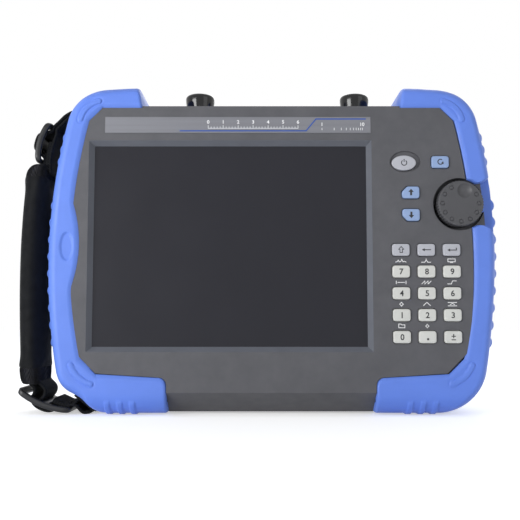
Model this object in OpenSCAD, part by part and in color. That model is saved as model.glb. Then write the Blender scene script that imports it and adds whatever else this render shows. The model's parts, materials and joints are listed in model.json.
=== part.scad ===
// Handheld spectrum analyser: a flat instrument case between two rubber end bumpers, with a
// screen, a keypad, a tuning knob, two capped radio jacks, a hand strap and a tilt stand.
// X runs left to right, Y from front to back and Z up. It stands on the ribs of its bumpers.
// The origin is on the floor, under the middle of the whole thing, strap included.

/* [Case] */
// Width of the case at its widest, without the bumpers
case_w = 286.4; // [280:0.2:294]
// Height of the case from its bottom to its recessed top
case_h = 204; // [202:0.5:212]
// Depth of the case from front to back
case_d = 76; // [74:0.5:90]
// Radius of the barrel curve of its two sides
barrel_r = 407.5; // [390:0.5:520]
// Height of the widest point above the case bottom
barrel_up = 98.3; // [92:0.1:104]
// Thickness of the side, top, bottom and back walls
wall = 3; // [2.4:0.1:3.4]
// Thickness of the front wall
face_t = 4; // [3.4:0.1:4.6]
// Height of the sloping chin under the front face
chin_h = 14; // [10:0.5:17]
// Depth of the sloping chin
chin_d = 18; // [12:0.5:22]
// Height of the shoulders beside the recessed top
shoulder_h = 7; // [5:0.5:8]
// Half width of the recessed top
top_half_w = 92; // [91:0.5:95]
// Depth of the front shell, up to the parting line
front_shell_d = 49.4; // [48.6:0.1:52]
// Thickness of the seal in the parting line
seal_t = 1.2; // [0.8:0.1:2]
// Bevel of the case edges
edge_bevel = 1.5; // [0.8:0.1:2.5]
// Gap between pieces that are pushed together
fit_gap = 0.1; // [0.05:0.01:0.2]

/* [Bumpers] */
// Thickness of a bumper over the side of the case
bumper_t = 6.5; // [5.5:0.1:8]
// Height of a bumper end above the shoulder
bumper_top_t = 7; // [6:0.1:9]
// Outer radius of the upper corners
corner_top_r = 28; // [24:0.5:32]
// Outer radius of the lower corners
corner_low_r = 34; // [30:0.5:38]
// How far a bumper stands proud of the front and the back
bumper_proud = 1.2; // [0.6:0.1:2]
// Rounding of the outer edges, seen from the front
bumper_round = 8; // [5:0.5:9]
// Rounding of the outer edges, seen from the side
bumper_round_d = 18; // [8:0.5:20]
// Depth of the seat that the bumper lies in
seat = 3; // [2.4:0.1:3.4]
// Width of the lap along the sides
lap_w = 16.5; // [15:0.1:18]
// Width of the lap at the upper corners
lap_top_corner = 17.5; // [16:0.1:20]
// Width of the lap at the lower corners
lap_low_corner = 25.8; // [23:0.1:27]
// Half width between the ends of the upper arms
arm_top_x = 86; // [84:0.5:88]
// Half width between the ends of the lower arms
arm_low_x = 68.5; // [66:0.5:72]
// Height of the lower arms up the front
arm_low_h = 24.5; // [22:0.5:27]
// Rise of the lower arms towards the corners
arm_low_rise = 2.7; // [0:0.1:4]
// How far the lap of the upper arms reaches down the front
arm_top_lap = 1.2; // [0.6:0.1:3]
// Lean of the ends of the upper arms
arm_lean = 3; // [0:0.5:4]
// Depth of the round lower front edge
under_d = 16; // [12:0.5:24]
// Height of the round lower front edge
under_h = 15; // [12:0.5:22]
// Height of the ribs that it stands on
rib_h = 0.8; // [0.4:0.1:1.2]
// Height of the case bottom above the bumper bottom
case_lift = 0.6; // [0.2:0.1:1.5]
// Pitch of the long row of ribs on each side
side_rib_pitch = 11.6; // [9:0.1:13]
// How far the side ribs stand out
side_rib_proud = 1.4; // [0.6:0.1:2.6]
// Depth of the thumb notch beside the knob
notch_d = 10; // [8:0.5:14]
// Height of the thumb notch
notch_h = 30; // [26:0.5:34]

/* [Screen] */
// Left edge of the visible glass, in from the left side of the case
screen_in = 24.9; // [23:0.1:28]
// Width of the column of controls right of the glass
control_w = 79.5; // [78:0.1:83]
// Height of the visible glass
screen_h = 134; // [124:0.5:137]
// Middle of the screen above the case bottom
screen_up = 110.6; // [108:0.1:112]
// Width of the bevel round the glass
bezel = 3.2; // [2:0.1:4]
// Thickness of the touch panel
glass_t = 1.8; // [1.1:0.1:2.4]
// Thickness of the display module
lcd_t = 7; // [5:0.1:9]
// How much shorter the name plate is than the glass
plate_short = 4.7; // [2:0.1:20]
// Height of the name plate
plate_h = 10.8; // [8:0.1:12]

/* [Keys] */
// Width of a key
key_w = 11.9; // [10:0.1:12.6]
// Height of a key
key_h = 8.4; // [7:0.1:9.4]
// Corner radius of a key
key_r = 2; // [1:0.1:3]
// Pitch of the keypad columns
key_pitch_x = 16.7; // [16:0.1:17]
// Pitch of the keypad rows
key_pitch_z = 14.3; // [13.6:0.1:14.6]
// Middle column of the keypad, in from the right side of the case
pad_in = 41.1; // [40.2:0.1:42.2]
// Lowest row of the keypad above the case bottom
pad_up = 50.1; // [48:0.1:51]
// How far the keys stand out of the face
key_proud = 1.8; // [1.4:0.1:2.6]
// Travel of a key
key_travel = 1.2; // [0.8:0.1:1.3]
// Gap round a key in its hole
key_gap = 0.3; // [0.2:0.05:0.5]
// Width of the oval power key
power_w = 16.4; // [13:0.1:17]
// Height of the oval power key
power_h = 10.4; // [8:0.1:11]

/* [Knob] */
// Diameter of the tuning knob
knob_d = 30.4; // [27:0.1:31]
// Middle of the knob, in from the right side of the case
knob_in = 18.4; // [17.7:0.1:19.2]
// Middle of the knob above the case bottom
knob_up = 137.8; // [136.5:0.1:139]
// How far the knob stands out of the face
knob_proud = 4.2; // [2:0.1:6]
// Width of the gap round the knob
well_gap = 2.3; // [1.5:0.1:2.8]
// Depth of the knob's well
well_d = 8; // [7:0.1:9]
// Diameter of the encoder shaft
shaft_d = 6; // [5:0.1:6.4]

/* [Jacks] */
// Thread diameter of a radio jack
jack_d = 15.8; // [14:0.1:16]
// Left jack, left of the middle of the case
jack_left = 50.4; // [48:0.1:54]
// Right jack, right of the middle of the case
jack_right = 60.4; // [57:0.1:63]
// Height of a jack above the top of the case
jack_h = 14.6; // [12:0.1:16]
// Diameter of a dust cap at its widest
cap_d = 20.6; // [19.6:0.1:22]
// Thickness of the top of a dust cap
cap_top_t = 2.9; // [2:0.1:4]
// Middle of the port cover, right of the middle of the case
port_x = 5; // [4:0.1:7]
// Length of the port cover
cover_l = 62; // [60:0.5:66]
// Width of the port cover
cover_w = 16; // [15.5:0.1:18]

/* [Strap] */
// Width of the webbing
web_w = 30; // [25:0.5:30]
// Thickness of the webbing
web_t = 2.2; // [1.6:0.1:2.4]
// Middle of the strap, in front of the middle of the case
strap_front = 8; // [5:0.5:10]
// Thickness of the padded sleeve
sleeve_t = 14; // [11:0.5:16]
// Width of the padded sleeve
sleeve_w = 46; // [38:0.5:50]
// Gap for the hand between the sleeve and the bumper ribs
hand_gap = 5.2; // [4.6:0.1:12]
// Length of the upper buckle
top_buckle_l = 29; // [27:0.5:30]
// Length of the lower buckle
low_buckle_l = 38; // [36:0.5:39]
// Thickness of a buckle
buckle_t = 4; // [3:0.1:4.2]

/* [Back] */
// Width between the middles of the legs of the tilt stand
stand_w = 144; // [140:0.5:156]
// Pivot of the tilt stand above the case bottom
stand_up = 120; // [116:0.5:126]
// Width of a leg of the tilt stand
stand_leg = 10; // [8:0.5:12]
// Thickness of the tilt stand
stand_t = 5.6; // [4:0.1:6.2]
// Width of the battery
battery_w = 110; // [90:0.5:113]
// Height of the battery
battery_h = 70; // [55:0.5:72]
// Side of the cooling fan
fan_w = 40; // [36:0.5:42]
// Thickness of the cooling fan
fan_t = 10; // [8:0.1:11]

/* [Hidden] */
$fn = 48;
wide_fn = 256;
far = 400;
sliver = 0.01;
root2 = sqrt(2);
run_gap = 0.05;

// Levels of the case
bumper_z0 = rib_h;
case_z0 = bumper_z0 + case_lift;
case_z1 = case_z0 + case_h;
shoulder_z = case_z1 + shoulder_h;
bumper_z1 = shoulder_z + bumper_top_t;
barrel_z = case_z0 + barrel_up;
front_y = -case_d / 2;
back_y = case_d / 2;
bumper_front_y = front_y - bumper_proud;
bumper_back_y = back_y + bumper_proud;
split_y0 = front_y + front_shell_d;
split_y1 = split_y0 + seal_t;
chin_angle = atan2(chin_h, chin_d);
heel = 6;

// Barrel circle of the bumper sides, and the circles of its corners, which touch it inside
bumper_half_w = case_w / 2 + bumper_t;
bumper_barrel_r = barrel_r + bumper_t;
barrel_x = case_w / 2 - barrel_r;
top_corner_z = bumper_z1 - corner_top_r;
top_corner_a = asin((top_corner_z - barrel_z) / (bumper_barrel_r - corner_top_r));
top_corner_x = barrel_x + (bumper_barrel_r - corner_top_r) * cos(top_corner_a);
low_corner_z = bumper_z0 + corner_low_r;
low_corner_a = asin((low_corner_z - barrel_z) / (bumper_barrel_r - corner_low_r));
low_corner_x = barrel_x + (bumper_barrel_r - corner_low_r) * cos(low_corner_a);
// Reach of the outer corners along the diagonals, as x + z and x - z
top_reach = top_corner_x + top_corner_z + corner_top_r * root2;
low_reach = low_corner_x - low_corner_z + corner_low_r * root2;

// Ribs of the bumpers
side_rib_r = 5;
side_rib_in = 12;
side_rib_l = case_d - 2 * side_rib_in;
upper_rib_up = 71;
upper_rib_pitch = 8.3;
foot_w = 3.4;
foot_from_a = 40;
foot_in = 30.5;
foot_pitch = 8.2;
foot_back_y = back_y - 12;

// Screen
screen_w = case_w - screen_in - control_w;
screen_x = (screen_in - control_w) / 2;
screen_z = case_z0 + screen_up;
glass_rim = 3;
glass_y = front_y + face_t;
lcd_y = glass_y + glass_t;
bulge_r = 87;
bulge_x = screen_x - screen_w / 2 - bezel - 5.4;
bulge_z = screen_z + 0.8;
thumb_w = 8.2;
thumb_h = 18.4;
thumb_d = 0.8;
thumb_left = 8.2;
thumb_low = 1.7;
plate_right = 5.1;
plate_w = screen_w - plate_short;
plate_x = screen_x + plate_right;
plate_up = 191.2;
plate_z = case_z0 + plate_up;
plate_sunk = 0.4;
plate_t = 0.6;

// Keys: a keypad of three columns, and five keys above it
KEYPAD = [
    ["key_0", "key_point", "key_sign"],
    ["key_1", "key_2", "key_3"],
    ["key_4", "key_5", "key_6"],
    ["key_7", "key_8", "key_9"],
    ["key_shift", "key_back", "key_enter"]
];
pad_x = case_w / 2 - pad_in;
pad_z = case_z0 + pad_up;
soft_row_z = pad_z + 115.8;
power_left = 13.9;
preset_right = 10.2;
arrow_x = pad_x - 9.6;
up_z = pad_z + 95.4;
down_z = pad_z + 80.4;
KEYS = concat(
    [for (row = [0 : 4]) for (col = [0 : 2])
        [KEYPAD[row][col], pad_x + (col - 1) * key_pitch_x, pad_z + row * key_pitch_z, "plain"]],
    [["key_power", pad_x - power_left, soft_row_z - 0.6, "oval"]],
    [["key_preset", pad_x + preset_right, soft_row_z, "plain"]],
    [["key_up", arrow_x, up_z, "up"]],
    [["key_down", arrow_x, down_z, "down"]]
);
KEY_NAMES = [for (k = KEYS) k[0]];
key_cut = 3.4;
key_lip = 1;
key_lip_t = 1.2;
key_stem_r = 2.2;
key_stem_l = 1.2;
key_seat_gap = 0.1;
lip_y = front_y + face_t + key_seat_gap;
stem_end_y = lip_y + key_lip_t + key_stem_l;
mat_pad_t = 0.8;
mat_t = 1.2;
mat_y = stem_end_y + key_travel + key_seat_gap + mat_pad_t;
key_board_y = mat_y + mat_t;
board_t = 1.6;
key_board_edge = 1.2;
key_board_x0 = pad_x - key_pitch_x - key_w / 2 - key_lip - key_board_edge;
key_board_x1 = pad_x + 29.5;
key_board_z0 = pad_z - 7;
key_board_z1 = pad_z + 122;
// Bosses: among the first four keys, between the power and preset keys, and at the right edge
KEY_BOSSES = [
    [pad_x - key_pitch_x / 2, pad_z + key_pitch_z / 2],
    [pad_x + (preset_right - key_w / 2 - power_left + power_w / 2) / 2, key_board_z1 - 3],
    [key_board_x1 - 2.6, key_board_z0 + 3.5],
    [key_board_x1 - 2.6, key_board_z0 + 59]
];
key_boss_r = 2.4;
small_screw_r = 1;
small_screw_l = 5;
small_head_t = 1.4;

// Knob, its well and the encoder behind it
knob_r = knob_d / 2;
knob_x = case_w / 2 - knob_in;
knob_z = case_z0 + knob_up;
well_r = knob_r + well_gap;
well_wall = 2;
well_y = front_y + well_d;
well_back_y = well_y + well_wall;
knob_front_y = front_y - knob_proud;
knob_dot_proud = 0.2;
knob_back_y = well_y - 0.6;
shaft_r = shaft_d / 2;
bushing_r = shaft_r + 1.5;
bushing_y = well_y - 4.5;
encoder_w = 13;
encoder_t = 6.5;
encoder_nut_r = bushing_r + 2.2;
encoder_nut_t = 2;
knob_hub_y = bushing_y - 0.6;
knob_hollow_r = encoder_nut_r + 1;
shaft_front_y = knob_front_y + 2.4;

// Shell screws, outside the tilt stand
post_in = 48.2;
post_low = 30.6;
post_top = 15.4;
post_r = 4.6;
post_room = 3.8;
post_x = max(case_w / 2 - post_in, stand_w / 2 + stand_leg / 2 + post_r + post_room);
POSTS = [for (x = [-post_x, post_x]) for (z = [case_z0 + post_low, case_z1 - post_top]) [x, z]];
post_screw_r = 1.5;
post_screw_head_r = 3.2;
post_screw_head_t = 2.4;
post_screw_sunk = 3.4;
post_screw_l = 32;

// Boards and what they carry
main_board_y = -14;
main_board_low = 24.6;
main_board_top = 9.4;
main_board_room = 3.4;
main_board_half_w = post_x - post_r - main_board_room;
main_board_z0 = case_z0 + main_board_low;
main_board_z1 = case_z1 - main_board_top;
main_boss_in = 27;
main_boss_up = 5;
main_boss_x = main_board_half_w - main_boss_in;
MAIN_BOSSES = [
    for (x = [-main_boss_x, main_boss_x])
        for (z = [main_board_z0 + main_boss_up, main_board_z1 - main_boss_up]) [x, z]
];
main_boss_r = 4;
board_screw_r = 1.5;
board_screw_head_r = 2.8;
board_screw_head_t = 1.8;
board_screw_l = 8;
module_t = 20;
module_z0 = case_z0 + 93.6;
module_h = 70;
module_margin = 14;
coax_r = 1.8;
coax_nut_r = 3.4;
coax_nut_l = 8;

// Jacks and caps
jack_y = 0;
jack_r = jack_d / 2;
jack_flange_r = jack_r + 2.6;
jack_flange_t = 2.5;
jack_body_r = jack_r - 1;
jack_body_l = 9;
jack_bore_r = 4.2;
jack_bore_d = 9;
jack_pin_r = 1.5;
nut_t = 3;
nut_across = jack_d + 3.4;
cap_gap = 0.3;
cap_z0 = case_z1 + nut_t + cap_gap;
cap_bore_r = jack_r + run_gap;
cap_bore_z = case_z1 + jack_h + cap_gap;
cap_z1 = cap_bore_z + cap_top_t;
jack_tail_z = case_z1 - wall - jack_flange_t - jack_body_l;
JACK_X = [-jack_left, jack_right];

// Ports under a hinged cover in the top
cover_y = 0;
cover_t = 2.4;
cover_gap = 0.4;
cover_sunk = 0.1;
cover_barrel_r = 1.7;
cover_pin_r = 1;
cover_pin_l = 1.5;
cover_hinge_y = cover_y + cover_w / 2 - cover_barrel_r;
cover_hinge_z = case_z1 - cover_sunk - cover_barrel_r;
pocket_z = cover_hinge_z - cover_barrel_r - cover_gap;
pocket_floor_t = 2;
pocket_wall = 3.4;
port_depth = 15;
port_front = 1.4;
usb_x = port_x + 7;
lan_x = port_x - 15;
dc_x = port_x + 23;
usb_w = 14.4;
usb_d = 7.2;
lan_w = 16;
lan_d = 12.5;
port_shell = 0.8;
dc_r = 4.6;
dc_bore_r = 2.8;
dc_pin_r = 1;

// Battery bay, its door and screws
battery_t = 19;
bay_gap = 0.4;
bay_wall = 2;
bay_z = case_z0 + 88;
bay_floor_y = split_y1;
battery_y0 = bay_floor_y + bay_wall + bay_gap;
door_t = 2.6;
door_rim = 4;
door_head = 8;
door_gap = 0.25;
door_backing = 3;
door_half_w = battery_w / 2 + bay_gap + door_rim;
door_z0 = bay_z - battery_h / 2 - bay_gap - door_rim;
door_z1 = bay_z + battery_h / 2 + bay_gap + door_head;
door_y = back_y - door_t;
door_screw_x = 44;
door_screw_z = door_z1 - door_head / 2;
door_screw_r = 1.5;
door_screw_head_r = 3.4;
door_screw_head_t = 1.6;
door_screw_l = 7;

// Tilt stand
stand_gap = 0.4;
stand_bar = 12;
stand_z = case_z0 + stand_up;
stand_foot_z = bumper_z0 + arm_low_h + 3;
stand_y = back_y - 0.3 - stand_t / 2;
stand_floor_y = back_y - 0.3 - stand_t - stand_gap;
stand_pin_r = 2.2;
stand_pin_l = 3;
stand_backing = 2.4;

// Cooling fan and vents
fan_in = 20;
fan_x = fan_in - post_x;
fan_z = case_z0 + 158.6;
fan_y1 = back_y - wall;
fan_y0 = fan_y1 - fan_t;
fan_bore_r = fan_w / 2 - 1.4;
fan_tip_gap = 1;
fan_hub_r = 9;
fan_spider_t = 1.8;
fan_axle_r = 1.5;
fan_blades = 7;
vent_pitch = 4.2;
vent_h = 2.4;
vent_rows = 4;

// Strap: anchor bars in the case corners, buckles, webbing and sleeve
strap_y = -strap_front;
strap_y0 = strap_y - web_w / 2;
strap_y1 = strap_y + web_w / 2;
strap_side = 1.4;
web_gap = 0.25;
floor_gap = 0.1;
top_exit_a = 30;
low_exit_a = -52;
top_exit = corner_point(-top_corner_x, top_corner_z, corner_top_r + 1, top_exit_a);
low_exit = corner_point(-low_corner_x, low_corner_z, corner_low_r + 2, low_exit_a);
anchor_r = 2;
anchor_gap = 0.2;
anchor_room = 2 * (anchor_r + anchor_gap + web_t) + 0.8;
anchor_wall = 2.4;
anchor_end = 1.6;
top_anchor_sunk = 15;
low_anchor_sunk = 16;
top_anchor = corner_point(-top_corner_x, top_corner_z, corner_top_r - top_anchor_sunk, top_exit_a);
low_anchor = corner_point(-low_corner_x, low_corner_z, corner_low_r - low_anchor_sunk, low_exit_a);
anchor_y0 = strap_y0 - strap_side - anchor_end;
anchor_y1 = strap_y1 + strap_side + anchor_end;
// The two anchors as [point, angle]
ANCHORS = [[top_anchor, top_exit_a], [low_anchor, low_exit_a]];
slot_w = 7.2;
sleeve_x = -(bumper_half_w + side_rib_proud + hand_gap + sleeve_t / 2);
sleeve_z0 = 29.5;
sleeve_z1 = 161;
sleeve_end_thin = 1;
sleeve_crown = 1.6;
cuff_low_l = 9.6;
cuff_top_l = 7.6;
cuff_thin = 1.2;
cuff_gap = 0.2;
cuff_top_shift = 7;
cuff_low_shift = 1.5;
buckle_bar = 3;
buckle_end = 4;
buckle_side = 4;
buckle_slot_side = 0.8;
top_buckle = [sleeve_x + 5.6, top_corner_z - 7];
top_buckle_a = 14.5;
top_buckle_bow = 40;
low_buckle = [sleeve_x + 11, 6.6];
low_buckle_a = -69;
low_buckle_bow = 60;
// The webbing's way: out of the upper slot, through a buckle, the sleeve and the other buckle
SLEEVE_WAY = [
    [sleeve_x + cuff_top_shift + 1.1, sleeve_z1 + cuff_top_l],
    [sleeve_x + 3.2, sleeve_z1 + 0.5],
    [sleeve_x + 1, sleeve_z1 - 7],
    [sleeve_x, sleeve_z1 - 15],
    [sleeve_x, sleeve_z0 + 12],
    [sleeve_x + cuff_low_shift, sleeve_z0 - 9],
    [sleeve_x + 4.2, sleeve_z0 - cuff_low_l - 2.4],
    [sleeve_x + 4.4, sleeve_z0 - cuff_low_l - 6.4]
];
top_up = thread(top_buckle_l, top_buckle_bow, 1);
top_down = thread(top_buckle_l, top_buckle_bow, -1);
low_up = thread(low_buckle_l, low_buckle_bow, 1);
low_down = thread(low_buckle_l, low_buckle_bow, -1);
web_path = concat(
    [top_anchor, top_exit, top_exit + [-5.5, -2.6]],
    [for (k = [3 : -1 : 0]) buckle_point(top_buckle, top_buckle_a, top_up[k])],
    [for (p = top_down) buckle_point(top_buckle, top_buckle_a, p)],
    SLEEVE_WAY,
    [for (k = [1, 0]) buckle_point(low_buckle, low_buckle_a, low_up[k])],
    [for (p = low_down) buckle_point(low_buckle, low_buckle_a, p)],
    [low_exit, low_anchor]
);
// Its free tail, along the upper buckle and out of it, and hanging behind it
TAIL = [[11.8, -7.8], [8, -8.2], [-3, -8], [-9, -8.6]];
tail_path = concat(
    [top_exit, top_exit + [-4.1, -4.7]],
    [for (p = TAIL) buckle_point(top_buckle, top_buckle_a, p)]
);

// The other tail, out of the lower buckle and along the floor under the corner
LOW_TAIL = [[20.6, 4.4], [16, 0], [11.5, 0]];
low_tail_path = concat(
    [for (k = [2, 3]) buckle_point(low_buckle, low_buckle_a, low_down[k])],
    [for (p = LOW_TAIL) [-low_corner_x - p[0], web_t / 2 + floor_gap + p[1]]]
);

// Frame: moves the middle of the whole outline to the origin
strap_reach = -sleeve_x + sleeve_t / 2;
side_reach = max([for (z = side_ribs()) side_x(bumper_half_w, bumper_barrel_r, z)]) + side_rib_proud;
frame_x = (strap_reach - side_reach) / 2;
frame_y = (bumper_back_y + knob_front_y - knob_dot_proud) / -2;

// Half width of a barrel side at height z
function side_x(half_w, r, z) = half_w - r + sqrt(r * r - (z - barrel_z) * (z - barrel_z));

// Heights of the side ribs: a group of three above the knob and a long row below it
function side_ribs() = concat(
    [for (k = [0 : 2]) barrel_z + upper_rib_up + k * upper_rib_pitch],
    [for (k = [-5 : 3]) barrel_z + (k + 0.5) * side_rib_pitch]
);

// Point at distance r from the middle of a left corner, a degrees above the level
function corner_point(x, z, r, a) = [x - r * cos(a), z + r * sin(a)];

// Point p of a buckle, along it and out of it, for a buckle at c that leans by a degrees
function buckle_point(c, a, p) =
    [c[0] + p[0] * sin(a) - p[1] * cos(a), c[1] + p[0] * cos(a) + p[1] * sin(a)];

// Sag of a buckle of bow radius r, at distance p from its middle
function sag(r, p) = r - sqrt(r * r - p * p);

// Way of the webbing in the upper or lower half of a buckle: over its bar, through the slot and
// behind its end
function thread(l, bow, side) = let (
    clear = buckle_t / 2 + web_gap + web_t / 2,
    slot_end = l / 2 - buckle_end
) [
    [side * (buckle_bar + 0.9), clear],
    [side * (buckle_bar + slot_end) / 2, 0],
    [side * (slot_end - 0.9), -clear - sag(bow, slot_end)],
    [side * (l / 2 - 1.5), -clear - sag(bow, l / 2 - 1.5)]
];

function unit(v) = v / norm(v);

// Offset of a band's edge at point i of a path, square to the path and mitred at its bends
function edge_shift(path, i, half_t) = let (
    last = len(path) - 1,
    a = unit(path[max(i, 1)] - path[max(i, 1) - 1]),
    b = unit(path[min(i, last - 1) + 1] - path[min(i, last - 1)]),
    n = unit([-a[1] - b[1], a[0] + b[0]])
) n * half_t / max(0.6, n * [-a[1], a[0]]);

// Outline of a flat band of thickness t along a path
function band(path, t) = concat(
    [for (i = [0 : len(path) - 1]) path[i] + edge_shift(path, i, t / 2)],
    [for (i = [len(path) - 1 : -1 : 0]) path[i] - edge_shift(path, i, t / 2)]
);

// Points of an arc
function arc(c, r, a0, a1, n) = [for (k = [0 : n]) let (a = a0 + (a1 - a0) * k / n)
    c + r * [cos(a), sin(a)]];

// Right half of the bumpers' outline, drawn in by i: lower corner, barrel side, upper corner
function bumper_half(i) = concat(
    arc([low_corner_x, low_corner_z], corner_low_r - i, -90, low_corner_a, 7),
    arc([barrel_x, barrel_z], bumper_barrel_r - i, low_corner_a * 0.8, top_corner_a * 0.8, 8),
    arc([top_corner_x, top_corner_z], corner_top_r - i, top_corner_a, 90, 7)
);

// Both sides of an outline from its right half, listed upwards
function both_sides(half) = concat(
    half, [for (k = [len(half) - 1 : -1 : 0]) [-half[k][0], half[k][1]]]
);

// Corners of the case seen from the front, drawn in by i
function case_half(i) = let (
    up = top_corner_x + top_corner_z + (corner_top_r - bumper_t - i) * root2,
    low = low_corner_x - low_corner_z + (corner_low_r - bumper_t - i) * root2
) [
    [low + case_z0 + i, case_z0 + i],
    [case_w / 2, case_w / 2 - low],
    [case_w / 2, up - case_w / 2],
    [up - shoulder_z + i, shoulder_z - i],
    [top_half_w + i, shoulder_z - i],
    [top_half_w + i, case_z1 - i]
];

// Case seen from the side, as [y, z], drawn in by i, with its bottom raised by lift
function case_profile(i, lift) = let (
    z0 = case_z0 + lift,
    top = shoulder_z - i,
    bevel = bevel_leg(edge_bevel, i),
    low_bevel = bevel_leg(heel, i)
) [
    [front_y + i, z0 + chin_h + i * tan((90 - chin_angle) / 2)],
    [front_y + i, top - bevel],
    [front_y + i + bevel, top],
    [back_y - i - bevel, top],
    [back_y - i, top - bevel],
    [back_y - i, z0 + i + low_bevel],
    [back_y - i - low_bevel, z0 + i],
    [front_y + chin_d + i * tan(chin_angle / 2), z0 + i]
];

// Leg of a 45 degree bevel on an outline that is drawn in by i
function bevel_leg(leg, i) = max(sliver, leg - (2 - root2) * i);

// Right half of the face that the bumpers leave free, drawn in by i
function face_half(i) = let (
    top = case_z1 - arm_top_lap - i,
    low = bumper_z0 + arm_low_h + i,
    up = top_reach - (lap_top_corner + i) * root2,
    down = low_reach - (lap_low_corner + i) * root2,
    r = 5
) concat(
    [[arm_low_x - i, -far]],
    [for (p = arc([arm_low_x - i + r, low - r], r, 180, 90, 4)) p],
    [
        [down + low + arm_low_rise, low + arm_low_rise],
        [case_w / 2, case_w / 2 - down],
        [case_w / 2, up - case_w / 2],
        [up - top, top],
        [arm_top_x - i, top],
        [arm_top_x - i, far]
    ]
);

// Round lower front edge of the bumpers as [y, z], grown by g, from angle a0 to straight down
function under_edge(g, a0) = [for (k = [0 : 8]) let (a = a0 + (90 - a0) * k / 8) [
    bumper_front_y + under_d - (under_d + g) * cos(a),
    bumper_z0 + under_h - (under_h + g) * sin(a)
]];

// Middle of one of the three foot ribs of an arm
function foot_x(k) = arm_low_x + foot_in + k * foot_pitch;

// Front limit of a port of depth d, or its back limit for -d: they lie in front of the hinge barrel
function port_y(d) = cover_y - port_front - d / 2;

function has(list, name) = len([for (n = list) if (n == name) n]) > 0;

// Grey function keys, blue keys and white number keys
function key_color(name) =
    has(["key_shift", "key_back", "key_enter", "key_power"], name) ? [0.78, 0.78, 0.8] :
    has(["key_up", "key_down", "key_preset"], name) ? [0.65, 0.77, 0.92] :
    [0.88, 0.88, 0.86];

// Moves the whole thing over the origin
module place() {
    translate([frame_x, frame_y, 0]) children();
}

// Carries an outline drawn in X and Z from y0 to y1
module along_y(y0, y1) {
    translate([0, y1, 0]) rotate([90, 0, 0]) linear_extrude(height = y1 - y0) children();
}

// Carries an outline drawn in Y and Z from x0 to x1
module along_x(x0, x1) {
    translate([x0, 0, 0]) rotate([90, 0, 90]) linear_extrude(height = x1 - x0) children();
}

module rod_y(r, y0, y1, x, z) {
    translate([x, y1, z]) rotate([90, 0, 0]) cylinder(h = y1 - y0, r = r);
}

module rod_x(r, x0, x1, y, z) {
    translate([x0, y, z]) rotate([0, 90, 0]) cylinder(h = x1 - x0, r = r);
}

// Box given by its limits
module block(x0, x1, y0, y1, z0, z1) {
    translate([x0, y0, z0]) cube([x1 - x0, y1 - y0, z1 - z0]);
}

module slab_y(y0, y1) {
    block(-far, far, y0, y1, -far, far);
}

// Rounded rectangle about the origin
module rounded(w, h, r) {
    square([w - 2 * r, h], center = true);
    square([w, h - 2 * r], center = true);
    for (x = [-1, 1]) for (z = [-1, 1]) translate([x * (w / 2 - r), z * (h / 2 - r)]) circle(r = r);
}

// Case seen from the front, drawn in by i
module case_outline(i) {
    intersection() {
        polygon(both_sides(case_half(i)));
        translate([barrel_x, barrel_z]) circle(r = barrel_r - i, $fn = wide_fn);
        translate([-barrel_x, barrel_z]) circle(r = barrel_r - i, $fn = wide_fn);
    }
}

// Face that the bumpers leave free; the left bumper bulges into the front one
module free_face(i, bulge) {
    difference() {
        intersection() {
            polygon(both_sides(face_half(i)));
            translate([barrel_x, barrel_z]) circle(r = bumper_barrel_r - lap_w - i, $fn = wide_fn);
            translate([-barrel_x, barrel_z]) circle(r = bumper_barrel_r - lap_w - i, $fn = wide_fn);
        }
        if (bulge) translate([bulge_x - bulge_r, bulge_z]) circle(r = bulge_r + i, $fn = wide_fn);
    }
}

// Solid body of the case with the seats of the bumpers cut in, drawn in by i
module case_solid(i) {
    difference() {
        intersection() {
            along_y(front_y - 1, back_y + 1) case_outline(i);
            union() {
                along_x(i - arm_low_x, arm_low_x - i) polygon(case_profile(i, 0));
                along_x(-case_w, case_w) polygon(case_profile(i, seat));
            }
        }
        difference() {
            slab_y(front_y - far, front_y + seat + i);
            along_y(front_y - far - 1, front_y + far) free_face(i, true);
        }
        difference() {
            slab_y(back_y - seat - i, back_y + far);
            along_y(back_y - far, back_y + far + 1) free_face(i, false);
        }
    }
}

// Hollow of the case
module case_hollow() {
    intersection() {
        case_solid(wall);
        slab_y(front_y + face_t, far);
    }
}

// Tapered opening of the screen
module screen_cut() {
    slope = bezel / face_t;
    wide = screen_w / 2 + bezel + slope;
    narrow = screen_w / 2 - slope;
    tall = screen_h / 2 + bezel + slope;
    short = screen_h / 2 - slope;
    y0 = front_y - 1;
    y1 = front_y + face_t + 1;
    intersection() {
        translate([screen_x, 0, 0]) linear_extrude(height = far)
            polygon([[-wide, y0], [wide, y0], [narrow, y1], [-narrow, y1]]);
        translate([0, 0, screen_z]) along_x(-far, far)
            polygon([[y0, -tall], [y0, tall], [y1, short], [y1, -short]]);
    }
}

// Oval about the origin, from its half axes
module oval(a, b) {
    polygon([for (t = [0 : 10 : 350]) [a * cos(t), b * sin(t)]]);
}

// Outline of a key about its middle, grown by g
module key_outline(kind, g) {
    if (kind == "oval") oval(power_w / 2 + g, power_h / 2 + g);
    else difference() {
        rounded(key_w + 2 * g, key_h + 2 * g, key_r + g);
        if (kind == "up") key_corner(1, g);
        if (kind == "down") key_corner(-1, g);
    }
}

// Cut-off left corner of an arrow key, at its top or bottom
module key_corner(side, g) {
    x = -key_w / 2 - g;
    z = side * (key_h / 2 + g);
    c = key_cut + g * (2 - root2);
    polygon([[x - 1, z + side], [x - 1, z - side * (c + 1)], [x + c + 1, z + side]]);
}

module at_key(k) {
    translate([k[1], 0, k[2]]) children();
}

// One key: a cap with a softened top edge, a lip behind the front wall and a stem
module key_piece(k) {
    top_step = 0.5;
    at_key(k) {
        along_y(front_y - key_proud, front_y) key_outline(k[3], -top_step);
        along_y(front_y - key_proud + top_step, lip_y + sliver) key_outline(k[3], 0);
        along_y(lip_y, lip_y + key_lip_t) key_outline(k[3], key_lip);
        rod_y(key_stem_r, lip_y, stem_end_y, 0, 0);
    }
}

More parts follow.
